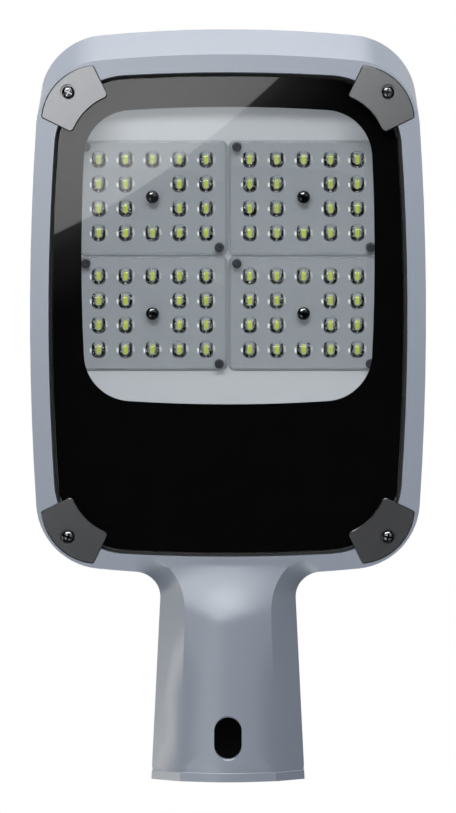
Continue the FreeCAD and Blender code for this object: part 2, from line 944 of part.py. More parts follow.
def clamp_prism(sign_x, sign_y, grow, low, high):
    """Outline of a corner clamp, grown by a seam for its pocket."""
    centre = corner_point(sign_x, sign_y, 0, 0, low)
    outer_radius = clamp_outer_radius + grow
    disc = Part.makeCylinder(outer_radius, high - low, centre)
    edge = grow * math.hypot(1, clamp_taper)
    spans = []
    for along in (-clamp_outer_radius / 4, 2 * clamp_outer_radius):
        spans.append((along, clamp_half_width + clamp_taper * (along - clamp_half_width_at) + edge))
    corners = [
        corner_point(sign_x, sign_y, spans[0][0], -spans[0][1], low),
        corner_point(sign_x, sign_y, spans[1][0], -spans[1][1], low),
        corner_point(sign_x, sign_y, spans[1][0], spans[1][1], low),
        corner_point(sign_x, sign_y, spans[0][0], spans[0][1], low),
    ]
    wedge = Part.Face(Part.makePolygon([*corners, corners[0]])).extrude(Vector(0, 0, high - low))
    inner_centre = corner_point(sign_x, sign_y, clamp_inner_apex - clamp_inner_radius, 0, low)
    inner_radius = clamp_inner_radius - grow
    scoop = Part.makeCylinder(inner_radius, high - low, inner_centre)
    plate = disc.common(wedge).cut(scoop)
    plate = plate.makeFillet(clamp_outer_corner, uprights_on_circle(plate, centre, outer_radius))
    return plate.makeFillet(clamp_inner_corner, uprights_on_circle(plate, inner_centre, inner_radius))


def clamp_screw_seat():
    """Height of the seat under a clamp screw's head."""
    return clamp_z + clamp_counterbore_depth


def corner_clamp(sign_x, sign_y):
    """Clamp with a thick body in the rim and a thin tongue over the glass."""
    back = clamp_z + clamp_body_thickness
    clamp = clamp_prism(sign_x, sign_y, 0, clamp_z, back)
    clamp = clamp.makeChamfer(clamp_edge_bevel, edges_at_height(clamp, clamp_z))
    glass_outline = inset(opening_outline, glass_gap - clamp_side_gap)
    clamp = clamp.cut(soft_prism(glass_outline, glass_z - clamp_glass_gap, back + overrun))
    place = corner_point(sign_x, sign_y, clamp_screw_offset, 0, 0)
    cup = upright_cylinder(place.x, place.y, clamp_counterbore_radius, clamp_z - overrun, clamp_screw_seat())
    hole_radius = m4_radius + through_clearance
    hole = upright_cylinder(place.x, place.y, hole_radius, clamp_z - overrun, back + overrun)
    return clamp.cut(cup).cut(hole)


def module_centres():
    """Centre of each lamp module with its name."""
    names = {
        (-1, 1): "front_left",
        (1, 1): "front_right",
        (-1, -1): "rear_left",
        (1, -1): "rear_right",
    }
    return [
        (names[(side, end)], side * module_pitch_x / 2, module_field_y + end * module_pitch_y / 2)
        for side in (-1, 1)
        for end in (-1, 1)
    ]


def plate_screw_places():
    """Three screws down each side of the mounting plate, outside the clear window."""
    cavity = inset(opening_outline, ledge_width + plate_edge_gap)
    centre = corner_centre(cavity)
    reach = cavity[5] - plate_screw_inset
    angle = math.radians(plate_screw_turn)
    front = (centre.x + reach * math.cos(angle), centre.y + reach * math.sin(angle))
    side_x = cavity[0] - plate_screw_inset
    rear_y = bay_front_y + 2 * plate_screw_inset
    places = []
    for side in (-1, 1):
        places.append((side * (side_x - plate_screw_step), rear_y))
        places.append((side * side_x, module_field_y))
        places.append((side * front[0], front[1]))
    return places


def screw_holes():
    """Blind holes in the casting for the screws of the clamps, modules, plate, tray and earth."""
    holes = []
    for name, sign_x, sign_y in clamp_corners():
        place = corner_point(sign_x, sign_y, clamp_screw_offset, 0, 0)
        holes.append(tapped_hole(place.x, place.y, m4_radius, clamp_screw_seat(), clamp_screw_length))
    for name, x, y in module_centres():
        holes.append(tapped_hole(x, y, m4_radius, lens_z, module_screw_length))
    for x, y in plate_screw_places():
        holes.append(tapped_hole(x, y, m3_radius, plate_z, plate_screw_length))
    for x, y in [*boss_places(), earth_place()]:
        holes.append(tapped_hole(x, y, m4_radius, tray_underside(), tray_screw_length))
    set_screw_hole_radius = set_screw_radius + screw_clearance
    for y in set_screw_places:
        holes.append(upright_cylinder(0, y, set_screw_hole_radius, 0, neck_half_height + overrun))
    return holes


def bulkhead_holes():
    """Holes for the gland and the breather in the wall behind the socket, and room for the locknut."""
    rear = chamber_end_y - overrun
    front = cavity_rear_y + overrun
    return [
        level_cylinder(gland_x, 0, gland_thread_radius + screw_clearance, rear, front),
        level_cylinder(gland_x, 0, locknut_flats / 2 + locknut_room, bulkhead_inner_y, front),
        level_cylinder(breather_x, 0, breather_thread_radius + screw_clearance, rear, front),
    ]


def housing():
    """One pressure die casting: body, nose, gear-bay dome, fins and neck."""
    casting = body_outer().multiFuse([bay_solid(0, deck_z - 2 * overrun), neck_outer()])
    for cut in under_facets():
        casting = casting.cut(cut)
    casting = casting.cut(lip_groove(casting))
    casting = casting.multiFuse([fin(x) for x in fin_positions()])
    cuts = [
        soft_prism(opening_outline, rim_z - overrun, ledge_z),
        soft_prism(inset(opening_outline, ledge_width), ledge_z - overrun, floor_z),
        bay_hollow(),
        level_cylinder(0, 0, socket_radius, -overrun, socket_depth),
        gland_chamber(),
        neck_slot(),
    ]
    for name, sign_x, sign_y in clamp_corners():
        cuts.append(clamp_prism(sign_x, sign_y, clamp_seam, rim_z - overrun, clamp_z + clamp_body_thickness))
    for cut in [*cuts, *bulkhead_holes(), *screw_holes()]:
        casting = casting.cut(cut)
    return casting


# Glass, print and gasket


def glass_cover():
    """Flat toughened glass with bevelled edges."""
    outline = inset(opening_outline, glass_gap)
    pane = soft_prism(outline, glass_z, glass_inner_z)
    edges = edges_at_height(pane, glass_z) + edges_at_height(pane, glass_inner_z)
    return pane.makeChamfer(glass_edge_bevel, edges)


def glass_border_print():
    """Black enamel layer on the glass's inner face, with a clear window over the lamps."""
    outline = inset(opening_outline, glass_gap + print_margin)
    layer = soft_prism(outline, glass_inner_z, glass_inner_z + print_thickness)
    window = soft_prism(window_outline, glass_inner_z - overrun, glass_inner_z + print_thickness + overrun)
    return layer.cut(window)


def glass_gasket():
    """Closed rubber frame between the glass and the ledge, with an upstand round the glass."""
    outer = inset(opening_outline, gasket_edge_gap)
    inner = inset(opening_outline, ledge_width - gasket_edge_gap)
    base = glass_inner_z + print_thickness
    frame = soft_prism(outer, base, ledge_z)
    frame = frame.cut(soft_prism(inner, base - overrun, ledge_z + overrun))
    lip_outline = inset(outer, gasket_lip_width)
    lip = soft_prism(outer, base - gasket_lip_depth, base)
    lip = lip.cut(soft_prism(lip_outline, base - gasket_lip_depth - overrun, base + overrun))
    return frame.fuse(lip).removeSplitter()


def clamp_screws():
    """Four pan-head screws, one in each corner clamp."""
    screws = []
    for name, sign_x, sign_y in clamp_corners():
        place = corner_point(sign_x, sign_y, clamp_screw_offset, 0, 0)
        screws.append(m4_screw(place.x, place.y, clamp_screw_seat(), clamp_screw_length))
    return Part.makeCompound(screws)


# Lamp modules


def pin_places(x, y):
    """Two opposite corners of a module where push-in pins hold the lens plate."""
    return [(x + side * pin_offset_x, y + side * pin_offset_y) for side in (-1, 1)]


def led_mounting_plate():
    """White sheet behind the modules, screwed to the casting's floor."""
    outline = inset(opening_outline, ledge_width + plate_edge_gap)
    plate = soft_prism(outline, plate_z, floor_z)
    keep = box(
        Vector(-body_width, plate_rear_y, plate_z - overrun),
        Vector(body_width, opening_nose_y, floor_z + overrun),
    )
    plate = plate.common(keep)
    low = plate_z - overrun
    high = floor_z + overrun
    holes = []
    for name, x, y in module_centres():
        holes.append(upright_cylinder(x, y, m4_radius + through_clearance, low, high))
        for pin_x, pin_y in pin_places(x, y):
            holes.append(upright_cylinder(pin_x, pin_y, pin_radius + screw_clearance, low, high))
    for x, y in plate_screw_places():
        holes.append(upright_cylinder(x, y, m3_radius + through_clearance, low, high))
    return plate.cut(Part.makeCompound(holes))


def plate_screws():
    return Part.makeCompound([m3_screw(x, y, plate_z, plate_screw_length) for x, y in plate_screw_places()])


def lens_places():
    """Grid of lens centres about a module's centre, with the two middle places left for the screw."""
    middle_column = (lens_columns - 1) / 2
    middle_row = (lens_rows - 1) / 2
    places = []
    for row in range(lens_rows):
        for column in range(lens_columns):
            if column == middle_column and abs(row - middle_row) < 1:
                continue
            places.append(((column - middle_column) * lens_pitch_x, (row - middle_row) * lens_pitch_y))
    return places


def led_board(x, y):
    """Circuit board of one module."""
    board = rounded_plate(
        x,
        y,
        lens_plate_length - 2 * board_margin,
        lens_plate_width - 2 * board_margin,
        board_z,
        plate_z,
        lens_plate_corner - board_margin,
    )
    low = board_z - overrun
    high = plate_z + overrun
    holes = [upright_cylinder(x, y, m4_radius + through_clearance, low, high)]
    for pin_x, pin_y in pin_places(x, y):
        holes.append(upright_cylinder(pin_x, pin_y, pin_radius + screw_clearance, low, high))
    return board.cut(Part.makeCompound(holes))


def led_packages(x, y):
    """The light-emitting diodes of one module."""
    half = led_size / 2
    packages = []
    for lens_x, lens_y in lens_places():
        low = Vector(x + lens_x - half, y + lens_y - half, board_z - led_thickness)
        high = Vector(x + lens_x + half, y + lens_y + half, board_z)
        packages.append(box(low, high))
    return Part.makeCompound(packages)


def lens_dome():
    """Barrel-shaped lens: a bowed profile turned about an axis along Y, cut off at the plate's back."""
    half = lens_length / 2
    first = Vector(lens_end_radius, -half, 0)
    crown = Vector(lens_half_width, 0, 0)
    last = Vector(lens_end_radius, half, 0)
    bow = Part.Arc(first, crown, last).toShape()
    sides = Part.makePolygon([last, Vector(0, half, 0), Vector(0, -half, 0), first])
    profile = Part.Face(Part.Wire([bow, *sides.Edges]))
    barrel = profile.revolve(Vector(0, 0, 0), Vector(0, 1, 0), 360)
    barrel.translate(Vector(0, 0, -lens_plate_thickness - lens_axis_drop))
    reach = lens_length
    keep = box(Vector(-reach, -reach, -2 * reach), Vector(reach, reach, -lens_plate_thickness / 2))
    return barrel.common(keep)


def lens_plate_at_origin():
    """Moulded plate of clear domes, its back face at z = 0 and its middle at the origin."""
    low = -lens_plate_thickness
    plate = rounded_plate(0, 0, lens_plate_length, lens_plate_width, low, 0, lens_plate_corner)
    plate = plate.makeChamfer(lens_plate_bevel, edges_at_height(plate, -lens_plate_thickness))
    dome = lens_dome()
    domes = []
    pockets = []
    for x, y in lens_places():
        copy = dome.copy()
        copy.translate(Vector(x, y, 0))
        domes.append(copy)
        half = lens_pocket_size / 2
        low_corner = Vector(x - half, y - half, -lens_pocket_depth)
        pockets.append(box(low_corner, Vector(x + half, y + half, overrun)))
    under = -lens_plate_thickness - overrun
    pockets.append(upright_cylinder(0, 0, m4_radius + through_clearance, under, overrun))
    for x, y in pin_places(0, 0):
        pockets.append(upright_cylinder(x, y, pin_radius + screw_clearance, under, overrun))
    return plate.multiFuse(domes).cut(Part.makeCompound(pockets))


def module_screws():
    return Part.makeCompound([m4_screw(x, y, lens_z, module_screw_length) for name, x, y in module_centres()])


def lens_pins():
    """Push-in pins, two in each lens plate, that end inside the mounting plate."""
    pins = []
    top = plate_z + pin_grip
    for name, x, y in module_centres():
        for pin_x, pin_y in pin_places(x, y):
            shank = upright_cylinder(pin_x, pin_y, pin_radius, lens_z, top)
            head = upright_cylinder(pin_x, pin_y, pin_head_radius, lens_z - pin_head_height, lens_z)
            head = head.makeFillet(pin_head_round, edges_at_height(head, lens_z - pin_head_height))
            pins.append(shank.fuse(head).removeSplitter())
    return Part.makeCompound(pins)


# Gear bay


def tray_underside():
    return tray_z - tray_thickness


def driver_middle_y():
    return plate_rear_y - driver_front_gap - driver_width / 2


def tray_span():
    """Rear and front edge of the gear tray."""
    return cavity_rear_y + tray_rear_gap, bay_front_y - bay_wall - tray_front_gap


def driver_ear_places():
    reach = (driver_length + driver_ear) / 2
    middle = driver_middle_y()
    offset = driver_width * driver_screw_share
    return [(driver_centre_x + end * reach, middle + side * offset) for end in (-1, 1) for side in (-1, 1)]


def surge_middle_y():
    return tray_span()[0] + surge_tray_gap + surge_width / 2


def surge_ear_places():
    reach = (surge_length + surge_ear) / 2
    return [(surge_centre_x + end * reach, surge_middle_y()) for end in (-1, 1)]


def terminal_length():
    return terminal_poles * terminal_pitch + 2 * terminal_end_wall


def terminal_screw_places():
    """Screws that hold the terminal block, between its poles."""
    middle = driver_middle_y()
    return [(terminal_centre_x, middle + side * terminal_pitch / 2) for side in (-1, 1)]


def gear_tray():
    """Folded sheet-steel tray, screwed to the posts, with both long edges turned up."""
    rear, front = tray_span()
    low = tray_underside()
    middle = (rear + front) / 2
    sheet = rounded_plate(0, middle, 2 * tray_half_length, front - rear, low, tray_z, tray_corner)
    length = 2 * (tray_half_length - tray_corner)
    flanges = []
    for edge, inner in ((rear, rear + tray_thickness), (front, front - tray_thickness)):
        first = Vector(-length / 2, min(edge, inner), low)
        last = Vector(length / 2, max(edge, inner), tray_z + tray_flange)
        flanges.append(box(first, last))
    tray = sheet.multiFuse(flanges).removeSplitter()
    holes = []
    for x, y in [*boss_places(), earth_place()]:
        holes.append(upright_cylinder(x, y, m4_radius + through_clearance, low - overrun, tray_z + overrun))
    for x, y in [*driver_ear_places(), *surge_ear_places(), *terminal_screw_places()]:
        holes.append(upright_cylinder(x, y, m3_radius + screw_clearance, low - overrun, tray_z + overrun))
    return tray.cut(Part.makeCompound(holes))


def tray_screws():
    return Part.makeCompound([m4_screw(x, y, tray_underside(), tray_screw_length) for x, y in boss_places()])


def ear_holes(places):
    """Clearance holes through mounting ears under the tray."""
    top = tray_underside()
    low = top - driver_ear_thickness - overrun
    holes = [upright_cylinder(x, y, m3_radius + through_clearance, low, top + overrun) for x, y in places]
    return Part.makeCompound(holes)


def driver():
    """Sealed driver: potted metal case with a mounting ear at each end."""
    top = tray_underside()
    middle = driver_middle_y()
    low_corner = Vector(driver_centre_x - driver_length / 2, middle - driver_width / 2, top - driver_height)
    high_corner = Vector(driver_centre_x + driver_length / 2, middle + driver_width / 2, top)
    case = box(low_corner, high_corner)
    rounded = [edge for edge in case.Edges if edge.BoundBox.XLength > driver_length / 2]
    case = case.makeFillet(driver_edge_round, rounded)
    ears = rounded_plate(
        driver_centre_x,
        middle,
        driver_length + 2 * driver_ear,
        driver_width * driver_ear_share,
        top - driver_ear_thickness,
        top,
        driver_edge_round,
    )
    return case.fuse(ears.cut(ear_holes(driver_ear_places())))


def driver_screws():
    seat = tray_underside() - driver_ear_thickness
    return Part.makeCompound([m3_screw(x, y, seat, small_screw_length) for x, y in driver_ear_places()])


def terminal_pole_places():
    middle = driver_middle_y()
    return [middle + (pole - (terminal_poles - 1) / 2) * terminal_pitch for pole in range(terminal_poles)]


def terminal_block():
    """Three-pole supply terminal: wire entries on two sides, and a narrower crown with the screw wells."""
    top = tray_underside()
    low = top - terminal_height
    crown_top = low + terminal_crown_height
    middle = driver_middle_y()
    length = terminal_length()
    half = terminal_depth / 2
    crown_half = half - terminal_crown_inset
    base = box(
        Vector(terminal_centre_x - half, middle - length / 2, crown_top),
        Vector(terminal_centre_x + half, middle + length / 2, top),
    )
    crown = box(
        Vector(terminal_centre_x - crown_half, middle - length / 2, low),
        Vector(terminal_centre_x + crown_half, middle + length / 2, crown_top),
    )
    entry_z = top - terminal_height * terminal_entry_share
    entry_x = terminal_centre_x - half - overrun
    entry_length = terminal_depth + 2 * overrun
    cuts = []
    for y in terminal_pole_places():
        start = Vector(entry_x, y, entry_z)
        cuts.append(Part.makeCylinder(terminal_wire_radius, entry_length, start, Vector(1, 0, 0)))
        well_radius = terminal_screw_radius + terminal_well_gap
        cuts.append(upright_cylinder(terminal_centre_x, y, well_radius, low - overrun, entry_z))
    seat = top - terminal_base_thickness
    for x, y in terminal_screw_places():
        cuts.append(upright_cylinder(x, y, m3_head_radius + terminal_well_gap, low - overrun, seat))
        cuts.append(upright_cylinder(x, y, m3_radius + through_clearance, seat - overrun, top + overrun))
    return base.fuse(crown).removeSplitter().cut(Part.makeCompound(cuts))


def terminal_clamp_screws():
    """Brass screws that clamp the supply wires, sunk in their wells."""
    head_z = tray_underside() - terminal_height + terminal_screw_sunk
    end_z = head_z + terminal_screw_length
    screws = []
    for y in terminal_pole_places():
        screws.append(upright_cylinder(terminal_centre_x, y, terminal_screw_radius, head_z, end_z))
    return Part.makeCompound(screws)


def terminal_block_screws():
    seat = tray_underside() - terminal_base_thickness
    places = terminal_screw_places()
    return Part.makeCompound([m3_screw(x, y, seat, long_small_screw_length) for x, y in places])


def surge_protector():
    """Sealed surge-protection block with two mounting ears."""
    top = tray_underside()
    middle = surge_middle_y()
    low = top - surge_height
    block = rounded_plate(surge_centre_x, middle, surge_length, surge_width, low, top, surge_corner)
    ears = rounded_plate(
        surge_centre_x,
        middle,
        surge_length + 2 * surge_ear,
        surge_width * surge_ear_share,
        top - driver_ear_thickness,
        top,
        surge_corner,
    )
    return block.fuse(ears.cut(ear_holes(surge_ear_places())))


def surge_protector_screws():
    seat = tray_underside() - driver_ear_thickness
    return Part.makeCompound([m3_screw(x, y, seat, small_screw_length) for x, y in surge_ear_places()])


def earth_washer():
    x, y = earth_place()
    top = tray_underside()
    ring = upright_cylinder(x, y, earth_washer_radius, top - earth_washer_thickness, top)
    low = top - earth_washer_thickness - overrun
    return ring.cut(upright_cylinder(x, y, m4_radius + through_clearance, low, top + overrun))


def earth_screw():
    x, y = earth_place()
    return m4_screw(x, y, tray_underside() - earth_washer_thickness, tray_screw_length)


# Cable gland and breather


def cable_gland_body():
    """Hexagonal flange against the bulkhead, a thread through it and a collar for the nut."""
    flange = level_hexagon(gland_x, 0, gland_flats, chamber_end_y - gland_flange, chamber_end_y)
    collar_rear = chamber_end_y - gland_flange - gland_collar_length
    collar = level_cylinder(gland_x, 0, gland_collar_radius, collar_rear, chamber_end_y - gland_flange)
    thread_end = bulkhead_inner_y + locknut_thickness + gland_thread_proud
    thread = level_cylinder(gland_x, 0, gland_thread_radius, chamber_end_y, thread_end)
    body = flange.multiFuse([collar, thread]).removeSplitter()
    bore = level_cylinder(gland_x, 0, gland_bore_radius, collar_rear - overrun, thread_end + overrun)
    return body.cut(bore)


def gland_cone(low_radius, high_radius, rear, front):
    """Cone on the gland's axis."""
    return Part.makeCone(low_radius, high_radius, front - rear, Vector(gland_x, rear, 0), Vector(0, 1, 0))


def cable_gland_seal():
    """Rubber ring squeezed round the cable."""
    collar_rear = chamber_end_y - gland_flange - gland_collar_length
    rear = collar_rear - gland_seal_head
    front = collar_rear + gland_seal_length
    outer = gland_bore_radius - screw_clearance
    sleeve = level_cylinder(gland_x, 0, outer, collar_rear, front)
    head = gland_cone(outer - gland_seal_lead, gland_collar_radius - gland_seal_lip, rear, collar_rear)
    cable_hole = level_cylinder(gland_x, 0, gland_cable_radius, rear - overrun, front + overrun)
    return sleeve.fuse(head).cut(cable_hole)


def cable_gland_nut():
    """Domed nut that screws on the collar and presses the seal."""
    front = chamber_end_y - gland_flange - gland_nut_gap
    rear = front - gland_nut_length
    grip_rear = front - gland_nut_grip
    inner = gland_collar_radius + screw_clearance
    grip = level_hexagon(gland_x, 0, gland_flats, grip_rear, front)
    nut = grip.fuse(gland_cone(gland_collar_radius, inner + gland_nut_wall, rear, grip_rear))
    collar_rear = chamber_end_y - gland_flange - gland_collar_length
    hollow_rear = collar_rear - gland_seal_head - gland_seal_gap
    nut = nut.cut(level_cylinder(gland_x, 0, inner, hollow_rear, front + overrun))
    return nut.cut(level_cylinder(gland_x, 0, gland_bore_radius, rear - overrun, front))


def cable_gland_locknut():
    """Flat nut inside the gear bay that holds the gland."""
    rear = bulkhead_inner_y
    front = rear + locknut_thickness
    nut = level_hexagon(gland_x, 0, locknut_flats, rear, front)
    hole_radius = gland_thread_radius + screw_clearance
    return nut.cut(level_cylinder(gland_x, 0, hole_radius, rear - overrun, front + overrun))


def breather():
    """Pressure-equalising plug with a hexagonal flange and a round vented cap."""
    flange_rear = chamber_end_y - breather_flange
    flange = level_hexagon(breather_x, 0, breather_flats, flange_rear, chamber_end_y)
    cap = level_cylinder(breather_x, 0, breather_cap_radius, flange_rear - breather_cap_height, flange_rear)
    thread_end = bulkhead_inner_y + breather_thread_proud
    thread = level_cylinder(breather_x, 0, breather_thread_radius, chamber_end_y, thread_end)
    return flange.multiFuse([cap, thread]).removeSplitter()


# Arm set screws


def arm_set_screws():
    """Socket set screws on the neck's upper face, backed out clear of the socket."""
    tip = socket_radius + set_screw_retract
    screws = []
    for y in set_screw_places:
        screw = upright_cylinder(0, y, set_screw_radius, tip, tip + set_screw_length)
        end = tip + set_screw_length
        key = upright_hexagon(0, y, set_screw_socket_flats, end - set_screw_socket_depth, end + overrun)
        point = edges_at_height(screw, tip)
        screws.append(screw.makeChamfer(set_screw_point, point).cut(key))
    return Part.makeCompound(screws)


def set_screw_jam_nuts():
    nuts = []
    for y in set_screw_places:
        low = neck_half_height
        nut = upright_hexagon(0, y, jam_nut_flats, low, low + jam_nut_thickness)
        high = low + jam_nut_thickness
        hole = upright_cylinder(0, y, set_screw_radius + screw_clearance, low - overrun, high + overrun)
        nuts.append(nut.cut(hole))
    return Part.makeCompound(nuts)


def export(name, shape):
    shape.exportStep("parts/" + name + ".step")


def moved(shape, x, y, z):
    copy = shape.copy()
    copy.translate(Vector(x, y, z))
    return copy


def main():
    export("housing", housing())
    export("glass_cover", glass_cover())
    export("glass_border_print", glass_border_print())
    export("glass_gasket", glass_gasket())
    for name, sign_x, sign_y in clamp_corners():
        export("corner_clamp_" + name, corner_clamp(sign_x, sign_y))
    export("clamp_screws", clamp_screws())
    export("led_mounting_plate", led_mounting_plate())
    export("plate_screws", plate_screws())
    lens_plate = lens_plate_at_origin()
    for name, x, y in module_centres():
        export("led_board_" + name, led_board(x, y))
        export("led_packages_" + name, led_packages(x, y))
        export("lens_plate_" + name, moved(lens_plate, x, y, board_z))
    export("module_screws", module_screws())
    export("lens_pins", lens_pins())
    export("gear_tray", gear_tray())
    export("tray_screws", tray_screws())
    export("driver", driver())
    export("driver_screws", driver_screws())
    export("terminal_block", terminal_block())
    export("terminal_clamp_screws", terminal_clamp_screws())
    export("terminal_block_screws", terminal_block_screws())
    export("surge_protector", surge_protector())
    export("surge_protector_screws", surge_protector_screws())
    export("earth_washer", earth_washer())
    export("earth_screw", earth_screw())
    export("cable_gland_body", cable_gland_body())
    export("cable_gland_seal", cable_gland_seal())
    export("cable_gland_nut", cable_gland_nut())
    export("cable_gland_locknut", cable_gland_locknut())
    export("breather", breather())
    export("arm_set_screws", arm_set_screws())
    export("set_screw_jam_nuts", set_screw_jam_nuts())


main()
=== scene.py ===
import json
import math

import bmesh
import bpy
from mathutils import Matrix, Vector


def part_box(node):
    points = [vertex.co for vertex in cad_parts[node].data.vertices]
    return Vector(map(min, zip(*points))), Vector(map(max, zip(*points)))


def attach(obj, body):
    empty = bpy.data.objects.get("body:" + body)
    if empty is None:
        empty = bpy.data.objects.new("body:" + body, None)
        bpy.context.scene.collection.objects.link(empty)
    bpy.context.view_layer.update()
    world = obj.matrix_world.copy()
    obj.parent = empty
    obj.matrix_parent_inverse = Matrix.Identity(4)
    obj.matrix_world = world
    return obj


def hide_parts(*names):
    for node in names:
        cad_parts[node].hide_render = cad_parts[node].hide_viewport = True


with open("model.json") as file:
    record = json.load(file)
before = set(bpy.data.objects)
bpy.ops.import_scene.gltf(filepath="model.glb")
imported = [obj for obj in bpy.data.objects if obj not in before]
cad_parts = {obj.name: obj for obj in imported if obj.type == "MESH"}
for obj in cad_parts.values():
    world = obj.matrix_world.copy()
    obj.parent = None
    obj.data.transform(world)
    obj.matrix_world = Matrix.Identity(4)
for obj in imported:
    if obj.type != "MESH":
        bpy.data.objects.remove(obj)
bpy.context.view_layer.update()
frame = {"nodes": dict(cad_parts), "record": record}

bl_info = {
    "name": "Street Light Head",
    "version": (1, 0, 0),
    "blender": (4, 5, 0),
    "location": "3D View > Sidebar > Street Light",
    "description": "Finishes, lenses, screws and studio for an LED street light head",
    "category": "Object",
}

# The head hangs as in its own frame: the arm socket's mouth at the origin, the nose along +Y,
# the sky along +Z, and the glass facing down. Everything is in metres.

CORNERS = ("front_left", "front_right", "rear_left", "rear_right")
SOCKET = next(mount for mount in frame["record"]["mounts"] if mount["name"] == "arm_socket")["dims"]
BOARD_BOXES = {corner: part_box("led_board_" + corner) for corner in CORNERS}
CLAMP_SCREW_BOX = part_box("clamp_screws")
MODULE_SCREW_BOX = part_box("module_screws")
PICTURE_HEIGHT = 813
PANEL_HEIGHT = -2.3

# Kinds of settings


def count(name, description, default):
    """Whole number from 2 up."""
    return bpy.props.IntProperty(name=name, description=description, default=default, min=2)


def length(name, description, default):
    """Length in metres."""
    return bpy.props.FloatProperty(name=name, description=description, default=default, unit="LENGTH")


def angle(name, description, default):
    """Angle in radians."""
    return bpy.props.FloatProperty(name=name, description=description, default=default, unit="ROTATION")


def level(name, description, default):
    """Plain number from 0 up."""
    return bpy.props.FloatProperty(name=name, description=description, default=default, min=0.0)


def squareness(name, description, default):
    """Exponent of a rounded outline, from 2, which is round, up to a nearly square one."""
    return bpy.props.FloatProperty(name=name, description=description, default=default, min=2.0)


def power(name, description, default):
    """A lamp's power in watts."""
    return bpy.props.FloatProperty(
        name=name, description=description, default=default, min=0.0, unit="POWER"
    )


def colour(name, description, default):
    """Linear colour."""
    return bpy.props.FloatVectorProperty(
        name=name, description=description, subtype="COLOR", size=3, min=0.0, max=1.0, default=default
    )


class StreetLightSizes(bpy.types.PropertyGroup):
    """Sizes of the small parts that are made here."""

    lens_columns: count("Lens Columns", "Lenses across one module", 5)
    lens_rows: count("Lens Rows", "Lenses along one module", 4)
    lens_pitch_x: length("Lens Pitch X", "Distance between lens columns", 0.0168)
    lens_pitch_y: length("Lens Pitch Y", "Distance between lens rows", 0.0153)
    middle_clear: length("Middle Clear", "Lenses nearer than this to a module's middle are left out", 0.009)
    lens_lead: length("Lens Lead", "How far a lens stands towards the nose of its place", 0.0005)
    lens_half_width: length("Lens Half Width", "Half width of one lens", 0.0044)
    lens_half_length: length("Lens Half Length", "Half length of one lens", 0.0049)
    lens_height: length("Lens Height", "Height of a lens over its plate", 0.006)
    lens_taper: level("Lens Taper", "How much narrower a lens is towards the nose", 0.08)
    lens_flatness: squareness("Lens Flatness", "How flat a lens's crown is across, 2 for a round one", 4.0)
    lens_nose: squareness("Lens Nose", "How square a lens's nose end is, 2 for a round one", 4.0)
    lens_tail: squareness("Lens Tail", "How square a lens's other end is, 2 for a round one", 2.4)
    ring_inner_x: length("Ring Inner X", "Half width of the low ring's inner edge", 0.0045)
    ring_inner_y: length("Ring Inner Y", "Half length of the low ring's inner edge", 0.005)
    ring_width: length("Ring Width", "Width of the low ring round a lens", 0.0012)
    ring_height: length("Ring Height", "Height of the low ring round a lens", 0.00048)
    plate_thickness: length("Lens Plate Thickness", "Thickness of a lens plate", 0.002)
    plate_margin: length("Lens Plate Margin", "How far a lens plate covers its board", 0.0012)
    plate_corner: length("Lens Plate Corner", "Corner radius of a lens plate", 0.004)
    flange_width: length("Flange Width", "Width of the low edge round a lens plate", 0.0011)
    flange_step: length("Flange Step", "How much lower that edge is", 0.0007)
    joint_reach_x: length("Joint Reach X", "How far a module's edge reaches to its neighbour across", 0.001)
    joint_reach_y: length("Joint Reach Y", "How far a module's edge reaches to its neighbour along", 0.0007)
    joint_margin: length("Joint Margin", "How far a lens plate covers its board at that edge", 0.0002)
    board_gap: length("Board Gap", "Air between a lens plate and the face of its board", 0.00006)
    led_half_width: length("Diode Half Width", "Half width of one diode package", 0.00128)
    led_half_length: length("Diode Half Length", "Half length of one diode package", 0.0016)
    led_lead: length("Diode Lead", "How far a diode stands towards the nose in its lens", 0.0001)
    led_height: length("Diode Height", "Height of one diode package", 0.0007)
    screw_head_radius: length("Screw Head Radius", "Radius of a pan head", 0.004)
    screw_head_height: length("Screw Head Height", "Height of a pan head", 0.0029)
    screw_shank_radius: length("Screw Shank Radius", "Radius of a screw's shank", 0.002)
    cross_width: length("Cross Slot Width", "Width of one arm of the cross slot", 0.0011)
    cross_length: length("Cross Slot Length", "Length of the cross slot over both arms", 0.0052)
    cross_depth: length("Cross Slot Depth", "Depth of the cross slot", 0.0019)
    cross_turn: angle("Cross Slot Turn", "Middle turn of the cross slots", 0.15)
    cross_spread: angle("Cross Slot Spread", "How far a slot is turned from that at most", 0.35)
    pin_head_radius: length("Pin Head Radius", "Radius of a push-in pin's head", 0.003)
    pin_head_height: length("Pin Head Height", "Height of a push-in pin's head", 0.001)
    pin_side_inset: length("Pin Side Inset", "From a lens plate's side to its pins", 0.0043)
    pin_end_inset: length("Pin End Inset", "From a lens plate's end to its pins", 0.0042)
    print_lift: length("Print Lift", "Air between the fired print and the glass", 0.00005)
    # Faces within this of the socket's bore get the painted shade.
    bore_margin: length("Bore Margin", "What lies within this of the socket's bore is bare", 0.0002)


